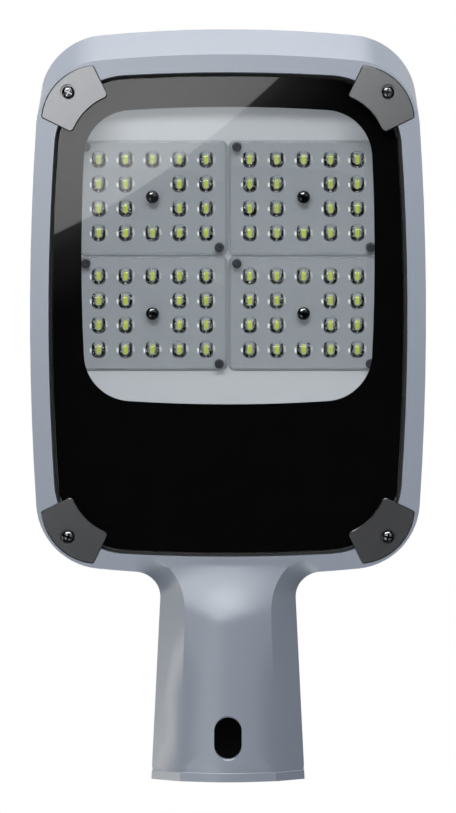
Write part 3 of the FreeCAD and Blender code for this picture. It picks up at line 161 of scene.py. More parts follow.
class StreetLightColours(bpy.types.PropertyGroup):
    """Colours of the finishes, linear."""

    casting: colour("Casting Paint", "Powder coat of the casting", (0.215, 0.25, 0.312))
    # Painted shade: the socket's bore is coloured nearly black to stand for the shade deep inside it.
    bare: colour("Bare Casting", "Unpainted inside of the arm's socket", (0.006, 0.0065, 0.0075))
    clamp: colour("Clamp", "Satin metal of the corner clamps", (0.21, 0.214, 0.222))
    dark_chrome: colour("Dark Chrome", "Black chrome of the visible screws", (0.17, 0.174, 0.185))
    cover: colour("Cover Glass", "Tint of the cover glass", (0.97, 0.985, 0.98))
    enamel: colour("Enamel", "Fired black print on the glass", (0.0025, 0.0025, 0.0026))
    gasket: colour("Gasket", "Rubber round the glass", (0.012, 0.012, 0.012))
    plate: colour("Mounting Plate", "Lacquer of the plate behind the modules", (0.505, 0.534, 0.573))
    board: colour("Board", "Solder mask of the circuit boards", (0.318, 0.342, 0.374))
    lens: colour("Lens", "Tint of the clear lens plates", (0.96, 0.975, 0.975))
    # Painted shade and painted glints of the lens plates: dark inner reflections at the lens flanks and in
    # the plates' low edges, and bright flecks in that dark.
    painted_flank_shade: colour(
        "Lens Shade", "Dark inner reflections at the flanks of each lens", (0.0003, 0.00033, 0.0004)
    )
    # Painted glints: white flecks that stand for highlights in the dark flanks of a lens.
    spark: colour("Lens Spark", "Bright flecks in the dark of a lens", (0.7, 0.73, 0.73))
    # Painted shade in the lens plates' low edges, standing for shadow and dark inner reflections there.
    painted_edge_shade: colour("Edge Shade", "Dark inner reflections in a lens plate's low edge", (0.2, 0.22, 0.25))
    ceramic: colour("Diode Body", "White body of a diode", (0.4, 0.42, 0.4))
    phosphor: colour("Phosphor", "Yellow-green face of a diode", (0.56, 0.65, 0.06))
    pin: colour("Pin", "Dark grey plastic of the push-in pins", (0.03, 0.034, 0.044))
    zinc: colour("Zinc", "Zinc-plated sheet and screws", (0.62, 0.63, 0.65))
    brass: colour("Brass", "Brass screws", (0.70, 0.52, 0.20))
    stainless: colour("Stainless", "Steel of the set screws", (0.55, 0.55, 0.56))
    driver_case: colour("Driver Case", "Metal case of the driver", (0.62, 0.63, 0.64))
    terminal: colour("Terminal Block", "Pale plastic of the terminal block", (0.75, 0.75, 0.72))
    surge: colour("Surge Protector", "Dark blue plastic of the surge protector", (0.05, 0.07, 0.12))
    gland: colour("Gland", "Black plastic of the cable gland", (0.03, 0.03, 0.032))
    seal: colour("Gland Seal", "Rubber in the cable gland", (0.015, 0.015, 0.015))
    floor: colour("Floor", "Pale studio floor", (0.82, 0.82, 0.82))


class StreetLightStudio(bpy.types.PropertyGroup):
    """Camera and light."""

    camera_height: length("Camera Height", "The camera's height in the frame", -2.229)
    camera_y: length("Camera Y", "The camera's place along the head", 0.2321)
    focal_pixels: level("Focal Length", "Focal length in pixels of an image 813 pixels high", 3550.0)
    floor_height: length("Floor Height", "The floor's height in the frame", -5.0)
    ambient: level("Ambient", "Light from all round", 0.46)
    key_power: power("Key Power", "Soft box under and past the nose", 54.0)
    nose_power: power("Nose Power", "Soft box level with the nose", 15.0)
    side_power: power("Side Power", "Soft box at the right of the head", 3.8)
    fill_power: power("Fill Power", "Soft box under the socket", 5.0)
    sky_power: power("Sky Power", "Soft box over the head", 30.0)
    panel_glow: level("Panel Glow", "Brightness of the panel that the glass mirrors", 3.4)
    frame_glow: level("Frame Glow", "Brightness round the dark middle of that panel", 0.38)
    screen_glow: level("Screen Glow", "Brightness of the dark screens that metal mirrors", 0.03)


# Node helpers


def feed(tree, socket, value):
    """Links a socket to another, or gives it a value of its own."""
    if isinstance(value, bpy.types.NodeSocket):
        tree.links.new(value, socket)
    elif socket.type == "RGBA":
        socket.default_value = (*value, 1.0)
    else:
        socket.default_value = value


def add_node(tree, kind, inputs=None, **settings):
    """New node with its settings, and with its inputs given by label or place."""
    node = tree.nodes.new(kind)
    for label, value in settings.items():
        setattr(node, label, value)
    for label, value in (inputs or {}).items():
        feed(tree, node.inputs[label], value)
    return node


def math_node(tree, operation, first, second=0):
    """One sum on two sockets or numbers."""
    return add_node(tree, "ShaderNodeMath", {0: first, 1: second}, operation=operation).outputs[0]


def vector_node(tree, x, y, z):
    """Vector from three sockets or numbers."""
    return add_node(tree, "ShaderNodeCombineXYZ", {"X": x, "Y": y, "Z": z}).outputs["Vector"]


def split_vector(tree, vector):
    """The three parts of a vector socket."""
    return add_node(tree, "ShaderNodeSeparateXYZ", {"Vector": vector}).outputs[:]


def object_place(tree):
    """The three Object coordinates."""
    return split_vector(tree, add_node(tree, "ShaderNodeTexCoord").outputs["Object"])


def stored(tree, name, part="Vector"):
    """What a mesh stores under a name."""
    return add_node(tree, "ShaderNodeAttribute", attribute_name=name).outputs[part]


def object_noise(tree, cells, detail=2.0, stretch=(1.0, 1.0, 1.0)):
    """Noise over Object coordinates, with so many cells in a metre."""
    place = add_node(tree, "ShaderNodeTexCoord").outputs["Object"]
    mapping = add_node(tree, "ShaderNodeMapping", {"Vector": place, "Scale": stretch})
    inputs = {"Vector": mapping.outputs["Vector"], "Scale": cells, "Detail": detail}
    return add_node(tree, "ShaderNodeTexNoise", inputs).outputs["Fac"]


def fine_noise(tree, cells):
    """Plain noise of one size, from about -0.5 to 0.5."""
    return math_node(tree, "SUBTRACT", object_noise(tree, cells, detail=1.0), 0.5)


def colour_mix(tree, factor, first, second):
    """Colour between two, each a value or a socket."""
    inputs = {"Factor": factor, "A": first, "B": second}
    return add_node(tree, "ShaderNodeMix", inputs, data_type="RGBA").outputs["Result"]


def ramp(tree, value, start, end, low=0.0, high=1.0):
    """Smooth change from low to high while a value goes from start to end."""
    inputs = {"Value": value, "From Min": start, "From Max": end, "To Min": low, "To Max": high}
    return add_node(tree, "ShaderNodeMapRange", inputs, interpolation_type="SMOOTHSTEP").outputs["Result"]


def shader_mix(tree, factor, first, second):
    """Shows one of two shaders by a factor."""
    mix = add_node(tree, "ShaderNodeMixShader", {"Fac": factor, 1: first, 2: second})
    tree.links.new(mix.outputs["Shader"], tree.nodes["Material Output"].inputs["Surface"])


def start_finish(name, base, roughness, metallic=0.0):
    """A new material with its constant values set on the shader itself."""
    material = bpy.data.materials.new(name)
    material.use_nodes = True
    shader = material.node_tree.nodes["Principled BSDF"]
    shader.inputs["Base Color"].default_value = (*base, 1.0)
    shader.inputs["Roughness"].default_value = roughness
    shader.inputs["Metallic"].default_value = metallic
    return material, material.node_tree, shader


def vary_colour(tree, shader, base, spread, factor):
    """Base colour that drifts a little lighter and darker with a factor."""
    low = tuple(channel * (1 - spread) for channel in base)
    high = tuple(min(channel * (1 + spread), 1.0) for channel in base)
    tree.links.new(colour_mix(tree, factor, low, high), shader.inputs["Base Color"])


def vary_roughness(tree, shader, low, high, factor):
    """Roughness between two values."""
    spread = add_node(tree, "ShaderNodeMapRange", {"Value": factor, "To Min": low, "To Max": high})
    tree.links.new(spread.outputs["Result"], shader.inputs["Roughness"])


def add_bump(tree, shader, height, distance, strength):
    """Fine relief from a height pattern."""
    bump = add_node(tree, "ShaderNodeBump", {"Height": height, "Distance": distance, "Strength": strength})
    tree.links.new(bump.outputs["Normal"], shader.inputs["Normal"])


# Finishes


def powder_coat(name, base):
    """Satin powder coat with fine orange peel."""
    material, tree, shader = start_finish(name, base, roughness=0.33)
    shader.inputs["IOR"].default_value = 1.75
    shader.inputs["Specular IOR Level"].default_value = 1.0
    vary_colour(tree, shader, base, spread=0.035, factor=object_noise(tree, cells=28.0, detail=3.0))
    vary_roughness(tree, shader, low=0.31, high=0.36, factor=object_noise(tree, cells=260.0))
    add_bump(tree, shader, object_noise(tree, cells=950.0, detail=3.0), distance=0.00005, strength=0.4)
    return material


def bore_shade_finish(name, base):
    """Dull inside of a casting, coloured nearly black as painted shade of the deep bore."""
    material, tree, shader = start_finish(name, base, roughness=0.9)
    shader.inputs["Specular IOR Level"].default_value = 0.2
    vary_colour(tree, shader, base, spread=0.2, factor=object_noise(tree, cells=150.0, detail=3.0))
    add_bump(tree, shader, object_noise(tree, cells=700.0), distance=0.00005, strength=0.4)
    return material


def clamp_metal(name, base):
    """Smooth satin metal with a soft sheen."""
    material, tree, shader = start_finish(name, base, roughness=0.24, metallic=1.0)
    vary_colour(tree, shader, base, spread=0.02, factor=object_noise(tree, cells=120.0, detail=4.0))
    vary_roughness(tree, shader, low=0.22, high=0.26, factor=object_noise(tree, cells=500.0))
    return material


def plated_metal(name, base, roughness):
    """Plated or turned metal with faint wear in its sheen."""
    material, tree, shader = start_finish(name, base, roughness, metallic=1.0)
    vary_colour(tree, shader, base, spread=0.08, factor=object_noise(tree, cells=400.0, detail=3.0))
    wear = object_noise(tree, cells=900.0)
    vary_roughness(tree, shader, low=roughness * 0.8, high=roughness * 1.3, factor=wear)
    return material


def rolled_sheet(name, base):
    """Zinc-plated sheet with marks along its rolling direction."""
    material, tree, shader = start_finish(name, base, roughness=0.38, metallic=1.0)
    marks = object_noise(tree, cells=60.0, detail=4.0, stretch=(1.0, 22.0, 1.0))
    vary_colour(tree, shader, base, spread=0.1, factor=marks)
    vary_roughness(tree, shader, low=0.3, high=0.48, factor=marks)
    return material


def lacquer(name, base):
    """Even white lacquer on sheet metal."""
    material, tree, shader = start_finish(name, base, roughness=0.5)
    vary_colour(tree, shader, base, spread=0.02, factor=object_noise(tree, cells=35.0))
    add_bump(tree, shader, object_noise(tree, cells=1400.0), distance=0.00002, strength=0.2)
    return material


def moulded_plastic(name, base, roughness):
    """Moulded plastic with a fine spark texture."""
    material, tree, shader = start_finish(name, base, roughness)
    vary_colour(tree, shader, base, spread=0.06, factor=object_noise(tree, cells=200.0))
    texture = object_noise(tree, cells=700.0)
    vary_roughness(tree, shader, low=roughness * 0.9, high=roughness * 1.15, factor=texture)
    add_bump(tree, shader, object_noise(tree, cells=2500.0), distance=0.00002, strength=0.3)
    return material


def solder_mask(name, base):
    """Solder mask with faint tracks under it."""
    material, tree, shader = start_finish(name, base, roughness=0.45)
    tracks = object_noise(tree, cells=90.0, detail=1.0, stretch=(1.0, 6.0, 1.0))
    vary_colour(tree, shader, base, spread=0.03, factor=tracks)
    return material


def enamel_print(name, base):
    """Fired black print, seen through the glass that it is fired on."""
    material, tree, shader = start_finish(name, base, roughness=1.0)
    shader.inputs["Specular IOR Level"].default_value = 0.0
    vary_colour(tree, shader, base, spread=0.2, factor=object_noise(tree, cells=60.0))
    return material


def phosphor_face(name, base):
    """Silicone with yellow phosphor."""
    material, tree, shader = start_finish(name, base, roughness=0.4)
    vary_colour(tree, shader, base, spread=0.18, factor=object_noise(tree, cells=1500.0))
    return material


def clear_solid(name, tint, roughness, refraction):
    """Clear glass or plastic that lets the lamps' light and bounced light through."""
    material, tree, shader = start_finish(name, tint, roughness)
    shader.inputs["Transmission Weight"].default_value = 1.0
    shader.inputs["IOR"].default_value = refraction
    vary_colour(tree, shader, tint, spread=0.005, factor=object_noise(tree, cells=12.0, detail=1.0))
    clear = add_node(tree, "ShaderNodeBsdfTransparent")
    path = add_node(tree, "ShaderNodeLightPath")
    plain = math_node(tree, "MAXIMUM", path.outputs["Is Shadow Ray"], path.outputs["Is Diffuse Ray"])
    shader_mix(tree, plain, shader.outputs["BSDF"], clear.outputs["BSDF"])
    return material, tree, shader


def ring_plastic(name, tint):
    """Polished clear plastic with a painted glint: white where a lens would throw light on its ring, most
    of it at the right.
    """
    material, tree, shader = clear_solid(name, tint, roughness=0.05, refraction=1.49)
    shader.inputs["Specular IOR Level"].default_value = 1.0
    shader.inputs["Coat Weight"].default_value = 1.0
    # Painted highlight: a white patch on the ring's right side and a faint one on its left.
    raggedness, lean = 0.12, 0.1
    across, along = split_vector(tree, stored(tree, "ring_place"))[:2]
    ragged = math_node(tree, "MULTIPLY", fine_noise(tree, cells=1500.0), raggedness)
    leaning = math_node(tree, "SUBTRACT", across, math_node(tree, "MULTIPLY", along, lean))
    rightwards = math_node(tree, "ADD", leaning, ragged)
    leftwards = math_node(tree, "MULTIPLY", rightwards, -1)
    strong = ramp(tree, rightwards, start=0.945, end=0.985, high=0.95)
    faint = ramp(tree, leftwards, start=0.86, end=0.96, high=0.3)
    white = math_node(tree, "MAXIMUM", strong, faint)
    tree.links.new(math_node(tree, "SUBTRACT", 1, white), shader.inputs["Transmission Weight"])
    return material


def lens_plastic(name, tint, painted_flank_shade, spark, painted_edge_shade):
    """Clear plastic with painted shade at its lenses' flanks for dark inner reflections, open towards the
    nose and ragged inside, with painted glints in that shade and painted shade in the plates' low edges.
    """
    material, tree, shader = clear_solid(name, tint, roughness=0.02, refraction=1.49)
    across, along, on_lens = split_vector(tree, stored(tree, "lens_place"))
    clear_half_width, clear_tail = 0.57, 0.7
    tail = math_node(tree, "MULTIPLY", math_node(tree, "MINIMUM", along, 0), 1 / clear_tail)
    tail_square = math_node(tree, "POWER", math_node(tree, "ABSOLUTE", tail), 2)
    round_end = math_node(tree, "MAXIMUM", math_node(tree, "SUBTRACT", 1, tail_square), 0)
    clear_edge = math_node(tree, "MULTIPLY", math_node(tree, "SQRT", round_end), clear_half_width)
    side = math_node(tree, "ABSOLUTE", across)
    ragged_side = math_node(tree, "ADD", side, fine_noise(tree, cells=1300.0))
    past = math_node(tree, "SUBTRACT", ragged_side, clear_edge)
    flank_shade_mask = math_node(tree, "MULTIPLY", ramp(tree, past, start=-0.03, end=0.05), on_lens)
    gaps = ramp(tree, object_noise(tree, cells=1900.0, detail=1.0), start=0.27, end=0.31)
    bright = ramp(tree, object_noise(tree, cells=1150.0, detail=1.0), start=0.65, end=0.68)
    # The painted shade: dark colour and dark reflections at the lens flanks, with gaps in it.
    dark = math_node(tree, "MULTIPLY", flank_shade_mask, gaps)
    # Painted glints: white flecks in the flank shade.
    painted_glints = math_node(tree, "MULTIPLY", flank_shade_mask, bright)
    # Painted shade in the lens plates' low edges.
    seen = colour_mix(tree, stored(tree, "painted_edge_shade", "Fac"), tint, painted_edge_shade)
    seen = colour_mix(tree, dark, seen, painted_flank_shade)
    tree.links.new(colour_mix(tree, painted_glints, seen, spark), shader.inputs["Base Color"])
    tree.links.new(math_node(tree, "SUBTRACT", 1, painted_glints), shader.inputs["Transmission Weight"])
    tree.links.new(colour_mix(tree, dark, (1.0, 1.0, 1.0), painted_flank_shade), shader.inputs["Specular Tint"])
    return material


# Mesh helpers


def link_object(name, content):
    """Object at the origin that holds a mesh, a lamp or a camera."""
    made = bpy.data.objects.new(name, content)
    bpy.context.scene.collection.objects.link(made)
    return made


def smooth_by_angle(mesh, degrees):
    """Smooth shading with sharp edges kept where faces turn more than an angle."""
    mesh.shade_smooth()
    mesh.set_sharp_from_angle(angle=math.radians(degrees))


def mesh_from(name, points, faces, reach=1e-7):
    """Mesh with its doubles merged and its faces pointing outwards."""
    mesh = bpy.data.meshes.new(name)
    mesh.from_pydata(points, [], faces)
    work = bmesh.new()
    work.from_mesh(mesh)
    bmesh.ops.remove_doubles(work, verts=work.verts, dist=reach)
    bmesh.ops.recalc_face_normals(work, faces=work.faces)
    work.to_mesh(mesh)
    work.free()
    return mesh


def mesh_of_rows(name, rows, rings=True, closed=False, capped=False):
    """Mesh over rows of as many points each.

    Rings closes each row, closed joins the last row to the first, and capped fills the first and the last.
    """
    width = len(rows[0])
    points = [point for row in rows for point in row]
    faces = []
    for row in range(len(rows) if closed else len(rows) - 1):
        first = row * width
        second = (row + 1) % len(rows) * width
        for place in range(width if rings else width - 1):
            following = (place + 1) % width
            faces.append((first + place, first + following, second + following, second + place))
    if capped:
        faces.append(tuple(range(width)))
        faces.append(tuple(reversed(range(len(points) - width, len(points)))))
    return mesh_from(name, points, faces)


def points_mesh(name, points):
    """Mesh of loose points."""
    mesh = bpy.data.meshes.new(name)
    mesh.from_pydata(points, [], [])
    return mesh


def store_points(mesh, name, kind, field, value_at):
    """Stores a value for each point of a mesh, worked out from its place."""
    marks = mesh.attributes.new(name, kind, "POINT")
    for vertex, mark in zip(mesh.vertices, marks.data):
        setattr(mark, field, value_at(*vertex.co))


def dress(node, material):
    """Gives a CAD node its finish."""
    for slot in frame["nodes"][node].material_slots:
        slot.material = material


def smooth_copy(node, name, material, degrees, shift=0.0):
    """Welded copy of a CAD node with smooth shading, which stands for it."""
    source = frame["nodes"][node].data
    points = [(*vertex.co.xy, vertex.co.z + shift) for vertex in source.vertices]
    faces = [tuple(face.vertices) for face in source.polygons]
    mesh = mesh_from(name, points, faces, reach=2e-6)
    mesh.materials.append(material)
    smooth_by_angle(mesh, degrees)
    piece = link_object(name, mesh)
    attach(piece, "root")
    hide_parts(node)
    return piece


def middle_of(box):
    """The middle of a box."""
    low, high = box
    return (Vector(low) + Vector(high)) / 2


def screw_places(sizes, box):
    """Where the seats of the four screws in a box stand."""
    low, high = box
    inset = sizes.screw_head_radius
    seat = low[2] + sizes.screw_head_height
    return [
        (x, y, seat)
        for x in (low[0] + inset, high[0] - inset)
        for y in (low[1] + inset, high[1] - inset)
    ]


# Node trees


def new_tree(name, inputs):
    """Geometry node tree with inputs given as label and kind, which its pieces set."""
    tree = bpy.data.node_groups.new(name, "GeometryNodeTree")
    tree.interface.new_socket("Geometry", in_out="INPUT", socket_type="NodeSocketGeometry")
    for label, kind in inputs.items():
        tree.interface.new_socket(label, in_out="INPUT", socket_type="NodeSocket" + kind)
    tree.interface.new_socket("Geometry", in_out="OUTPUT", socket_type="NodeSocketGeometry")
    return tree, add_node(tree, "NodeGroupInput").outputs


def lifted(tree, mesh, lift):
    """Mesh moved along z."""
    inputs = {"Geometry": mesh, "Translation": vector_node(tree, 0, 0, lift)}
    return add_node(tree, "GeometryNodeTransform", inputs).outputs["Geometry"]


def barrel(tree, vertices, radius, depth, lift):
    """Upright cylinder with its middle at a height."""
    inputs = {"Vertices": vertices, "Radius": radius, "Depth": depth}
    return lifted(tree, add_node(tree, "GeometryNodeMeshCylinder", inputs).outputs["Mesh"], lift)


def joined(tree, meshes):
    """Several meshes in one."""
    join = add_node(tree, "GeometryNodeJoinGeometry")
    for mesh in meshes:
        tree.links.new(mesh, join.inputs["Geometry"])
    return join.outputs["Geometry"]


def solid_sum(tree, operation, others, first=None):
    """Boolean of solids, taken from the first where there is one."""
    work = add_node(tree, "GeometryNodeMeshBoolean", operation=operation, solver="EXACT")
    if first is not None:
        tree.links.new(first, work.inputs["Mesh 1"])
    for other in others:
        tree.links.new(other, work.inputs["Mesh 2"])
    return work.outputs["Mesh"]


def copies_at(tree, points, part, turn=(0.0, 0.0, 0.0)):
    """Copies of a part at points."""
    inputs = {"Points": points, "Instance": part, "Rotation": turn}
    return add_node(tree, "GeometryNodeInstanceOnPoints", inputs).outputs["Instances"]


def finish_tree(tree, given, mesh):
    """Realizes the copies and sets the finish."""
    real = add_node(tree, "GeometryNodeRealizeInstances", {"Geometry": mesh}).outputs["Geometry"]
    inputs = {"Geometry": real, "Material": given["Finish"]}
    done = add_node(tree, "GeometryNodeSetMaterial", inputs).outputs["Geometry"]
    add_node(tree, "NodeGroupOutput", {"Geometry": done})
    return tree


def field_tree():
    """Copies of a part on a module's grid, with its middle left clear, joined to the host's mesh."""
    tree, given = new_tree(
        "Module Field",
        {
            "Part": "Object",
            "Columns": "Int",
            "Rows": "Int",
            "Pitch X": "Float",
            "Pitch Y": "Float",
            "Middle Clear": "Float",
            "Centre": "Vector",
            "Finish": "Material",
        },
    )
    spans_x = math_node(tree, "SUBTRACT", given["Columns"], 1)
    spans_y = math_node(tree, "SUBTRACT", given["Rows"], 1)
    inputs = {
        "Size X": math_node(tree, "MULTIPLY", spans_x, given["Pitch X"]),
        "Size Y": math_node(tree, "MULTIPLY", spans_y, given["Pitch Y"]),
        "Vertices X": given["Columns"],
        "Vertices Y": given["Rows"],
    }
    grid = add_node(tree, "GeometryNodeMeshGrid", inputs).outputs["Mesh"]
    place = add_node(tree, "GeometryNodeInputPosition").outputs["Position"]
    reach = add_node(tree, "ShaderNodeVectorMath", {0: place}, operation="LENGTH").outputs["Value"]
    inputs = {"A": reach, "B": given["Middle Clear"]}
    near = add_node(tree, "FunctionNodeCompare", inputs, data_type="FLOAT", operation="LESS_THAN")
    inputs = {"Geometry": grid, "Selection": near.outputs["Result"]}
    cleared = add_node(tree, "GeometryNodeDeleteGeometry", inputs, domain="POINT").outputs["Geometry"]
    inputs = {"Geometry": cleared, "Translation": given["Centre"]}
    points = add_node(tree, "GeometryNodeTransform", inputs).outputs["Geometry"]
    part = add_node(tree, "GeometryNodeObjectInfo", {"Object": given["Part"]}).outputs["Geometry"]
    return finish_tree(tree, given, joined(tree, (copies_at(tree, points, part), given["Geometry"])))


def cross_screw_tree():
    """Pan-head screws with cross slots, hanging head down from the host's points, each turned by chance."""
    numbers = ("Head Radius", "Head Height", "Shank Radius", "Shank Length", "Slot Width")
    numbers += ("Slot Length", "Slot Depth", "Turn", "Turn Spread")
    inputs = dict.fromkeys(numbers, "Float")
    tree, given = new_tree("Cross Slot Screws", {**inputs, "Seed": "Int", "Finish": "Material"})
    height = given["Head Height"]
    side_rise, dome_reach = 2.2, 1.14
    side = barrel(
        tree,
        vertices=48,
        radius=given["Head Radius"],
        depth=math_node(tree, "MULTIPLY", height, side_rise),
        lift=math_node(tree, "MULTIPLY", height, side_rise / 2),
    )
    ball = add_node(tree, "GeometryNodeMeshUVSphere", {"Segments": 48, "Rings": 24, "Radius": 1.0})
    wide = math_node(tree, "MULTIPLY", given["Head Radius"], dome_reach)
    inputs = {"Geometry": ball.outputs["Mesh"], "Scale": vector_node(tree, wide, wide, height)}
    dome = add_node(tree, "GeometryNodeTransform", inputs).outputs["Geometry"]
    head = solid_sum(tree, "INTERSECT", (side, dome))
    width, long, deep = (given["Slot " + label] for label in ("Width", "Length", "Depth"))
    slot_middle = math_node(tree, "SUBTRACT", height, math_node(tree, "MULTIPLY", deep, 0.5))
    arms = []
    for size in (vector_node(tree, long, width, deep), vector_node(tree, width, long, deep)):
        arm = add_node(tree, "GeometryNodeMeshCube", {"Size": size}).outputs["Mesh"]
        arms.append(lifted(tree, arm, slot_middle))
    slotted = solid_sum(tree, "DIFFERENCE", arms, first=head)
    shank = barrel(
        tree,
        vertices=24,
        radius=given["Shank Radius"],
        depth=given["Shank Length"],
        lift=math_node(tree, "MULTIPLY", given["Shank Length"], -0.5),
    )
    spread = given["Turn Spread"]
    inputs = {"Min": math_node(tree, "MULTIPLY", spread, -1.0), "Max": spread, "Seed": given["Seed"]}
    chance = add_node(tree, "FunctionNodeRandomValue", inputs, data_type="FLOAT").outputs["Value"]
    turn = vector_node(tree, math.pi, 0, math_node(tree, "ADD", given["Turn"], chance))
    screw = joined(tree, (slotted, shank))
    return finish_tree(tree, given, copies_at(tree, given["Geometry"], screw, turn))


def places_tree():
    """Copies of a part at the host's points."""
    tree, given = new_tree("Parts At Places", {"Part": "Object", "Finish": "Material"})
    part = add_node(tree, "GeometryNodeObjectInfo", {"Object": given["Part"]}).outputs["Geometry"]
    return finish_tree(tree, given, copies_at(tree, given["Geometry"], part))


def set_input(modifier, tree, label, value):
    """Sets a modifier's input by its socket's identifier."""
    for item in tree.interface.items_tree:
        if item.item_type == "SOCKET" and item.in_out == "INPUT" and item.name == label:
            modifier[item.identifier] = value
            return
    raise KeyError(label)


def grown_piece(name, host, tree, values, degrees):
    """Evaluates a node tree on a host mesh and keeps the result as a plain mesh."""
    draft = link_object(name + "_draft", host)
    modifier = draft.modifiers.new("grow", "NODES")
    modifier.node_group = tree
    for label, value in values.items():
        set_input(modifier, tree, label, value)
    bpy.context.view_layer.update()
    graph = bpy.context.evaluated_depsgraph_get()
    mesh = bpy.data.meshes.new_from_object(draft.evaluated_get(graph))
    mesh.name = name
    draft.modifiers.remove(modifier)
    bpy.data.objects.remove(draft)
    smooth_by_angle(mesh, degrees)
    piece = link_object(name, mesh)
    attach(piece, "root")
    return piece


# Shapes of the small parts


def signed_power(value, exponent):
    """Power that keeps the sign."""
    return math.copysign(abs(value) ** exponent, value)


def lens_mesh(sizes):
    """One lens: an egg-shaped barrel, round along Y and flat-crowned across, with straight flanks."""
    stations = 20
    arc_steps = 20
    sunk = 0.5
    foot = -sizes.plate_thickness * sunk
    axis_z = -sizes.plate_thickness - sizes.lens_height + sizes.lens_half_length
    flat = 2 / sizes.lens_flatness
    rows = []
    for station in range(stations + 1):
        share = -math.cos(math.pi * station / stations)
        y = sizes.lens_half_length * share
        rise = sizes.lens_half_length * math.sqrt(max(1 - share**2, 0))
        exponent = sizes.lens_nose if share > 0 else sizes.lens_tail
        girth = max(1 - abs(share) ** exponent, 0) ** (1 / exponent)
        reach = sizes.lens_half_width * girth * (1 - sizes.lens_taper * share)
        row = [(reach, y, foot)]
        for step in range(arc_steps + 1):
            turn = math.pi * step / arc_steps
            x = reach * signed_power(math.cos(turn), flat)
            row.append((x, y, axis_z - rise * max(math.sin(turn), 0) ** flat))
        row.append((-reach, y, foot))
        rows.append(row)
    mesh = mesh_of_rows("lens", rows)
    half_width, half_length = sizes.lens_half_width, sizes.lens_half_length
    store_points(
        mesh, "lens_place", "FLOAT_VECTOR", "vector", lambda x, y, z: (x / half_width, y / half_length, 1.0)
    )
    return mesh


def ring_mesh(sizes):
    """Low ring round one lens, with a rounded inner edge and a flat outer slope."""
    around = 36
    profile = [(0.0, 0.0), (0.08, 0.85), (0.2, 1.0), (0.6, 0.5), (1.0, 0.0)]
    end_narrowing, sunk = 0.4, 0.99
    width_along = sizes.ring_width * end_narrowing
    seat = -sizes.plate_thickness * sunk
    rows = []
    for step in range(around):
        turn = 2 * math.pi * step / around
        rows.append(
            [
                (
                    (sizes.ring_inner_x + sizes.ring_width * share) * math.cos(turn),
                    (sizes.ring_inner_y + width_along * share) * math.sin(turn),
                    seat - sizes.ring_height * rise,
                )
                for share, rise in profile
            ]
        )
    mesh = mesh_of_rows("lens_ring", rows, closed=True)
    store_points(
        mesh, "ring_place", "FLOAT_VECTOR", "vector", lambda x, y, z: (*Vector((x, y)).normalized(), 0.0)
    )
    return mesh


def rounded_outline(half_x, half_y, corner, steps):
    """Points round a rectangle with round corners, about the origin."""
    outline = []
    for turn, (sign_x, sign_y) in enumerate(((1, 1), (-1, 1), (-1, -1), (1, -1))):
        for step in range(steps + 1):
            at = math.radians(90 * (turn + step / steps))
            x = sign_x * (half_x - corner) + corner * math.cos(at)
            outline.append((x, sign_y * (half_y - corner) + corner * math.sin(at)))
    return outline


def slab_mesh(name, centre, half_x, half_y, corner, layers):
    """Closed slab with a rounded outline; layers give height and how far the outline is drawn in."""
    corner_steps = 8
    least_corner = 1e-5
    rows = []
    for z, inset in layers:
        round_corner = max(corner - inset, least_corner)
        outline = rounded_outline(half_x - inset, half_y - inset, round_corner, corner_steps)
        rows.append([(centre.x + x, centre.y + y, z) for x, y in outline])
    return mesh_of_rows(name, rows, capped=True)


def module_slab(name, corner, sizes, margin, joint_margin, layers):
    """Slab over a module's board, grown by a margin at its outer edges and up to its neighbours."""
    low, high = BOARD_BOXES[corner]
    left = corner.endswith("left")
    rear = corner.startswith("rear")
    grow_x = sizes.plate_margin + sizes.joint_reach_x - joint_margin
    grow_y = sizes.plate_margin + sizes.joint_reach_y - joint_margin
    low_x, high_x = low[0] - (margin if left else grow_x), high[0] + (grow_x if left else margin)
    low_y, high_y = low[1] - (margin if rear else grow_y), high[1] + (grow_y if rear else margin)
    middle = Vector(((low_x + high_x) / 2, (low_y + high_y) / 2, 0))
    half_x, half_y = (high_x - low_x) / 2, (high_y - low_y) / 2
    return slab_mesh(name, middle, half_x, half_y, sizes.plate_corner - joint_margin, layers)


def lens_plate_slab(sizes, corner, back):
    """A module's lens plate without its lenses: a slab with a low edge, whose points store how much painted
    shade the edge gets.
    """
    front = back - sizes.plate_thickness
    step = sizes.flange_step
    width = sizes.flange_width
    edge_foot, edge_face, edge_wall = front + step * 1.4, front + step, front + step * 0.3
    layers = [
        (back, 0.0),
        (edge_foot, 0.0),
        (edge_face, step * 0.4),
        (edge_face, width),
        (edge_wall, width + step * 0.25),
        (front, width + step),
    ]
    # How much painted shade each level of the low edge gets.
    painted_edge_darkness = {edge_foot: 0.35, edge_face: 0.4, edge_wall: 0.75}
    same_level = 1e-6
    slab = module_slab("lens_slab", corner, sizes, sizes.plate_margin, 0.0, layers)
    store_points(
        slab,
        "painted_edge_shade",
        "FLOAT",
        "value",
        lambda x, y, z: sum(dark for at, dark in painted_edge_darkness.items() if abs(z - at) < same_level),
    )
    return slab


def diode_body_mesh(sizes):
    """White package with a bevelled face."""
    half = sizes.led_half_width
    height = sizes.led_height
    corner = half * 0.15
    layers = [(0.0, 0.0), (-height * 0.9, 0.0), (-height, height * 0.15)]
    centre = Vector((0, sizes.led_lead, 0))
    return slab_mesh("diode_body", centre, half, sizes.led_half_length, corner, layers)


def diode_face_mesh(sizes):
    """Phosphor window, standing just proud of its package."""
    half = sizes.led_half_width * 0.86
    half_length = sizes.led_half_length * 0.88
    corner = half * 0.4
    top = -sizes.led_height
    layers = [(top * 0.9, 0.0), (top * 1.03, 0.0), (top * 1.1, half * 0.3)]
    centre = Vector((0, sizes.led_lead, 0))
    return slab_mesh("diode_face", centre, half, half_length, corner, layers)


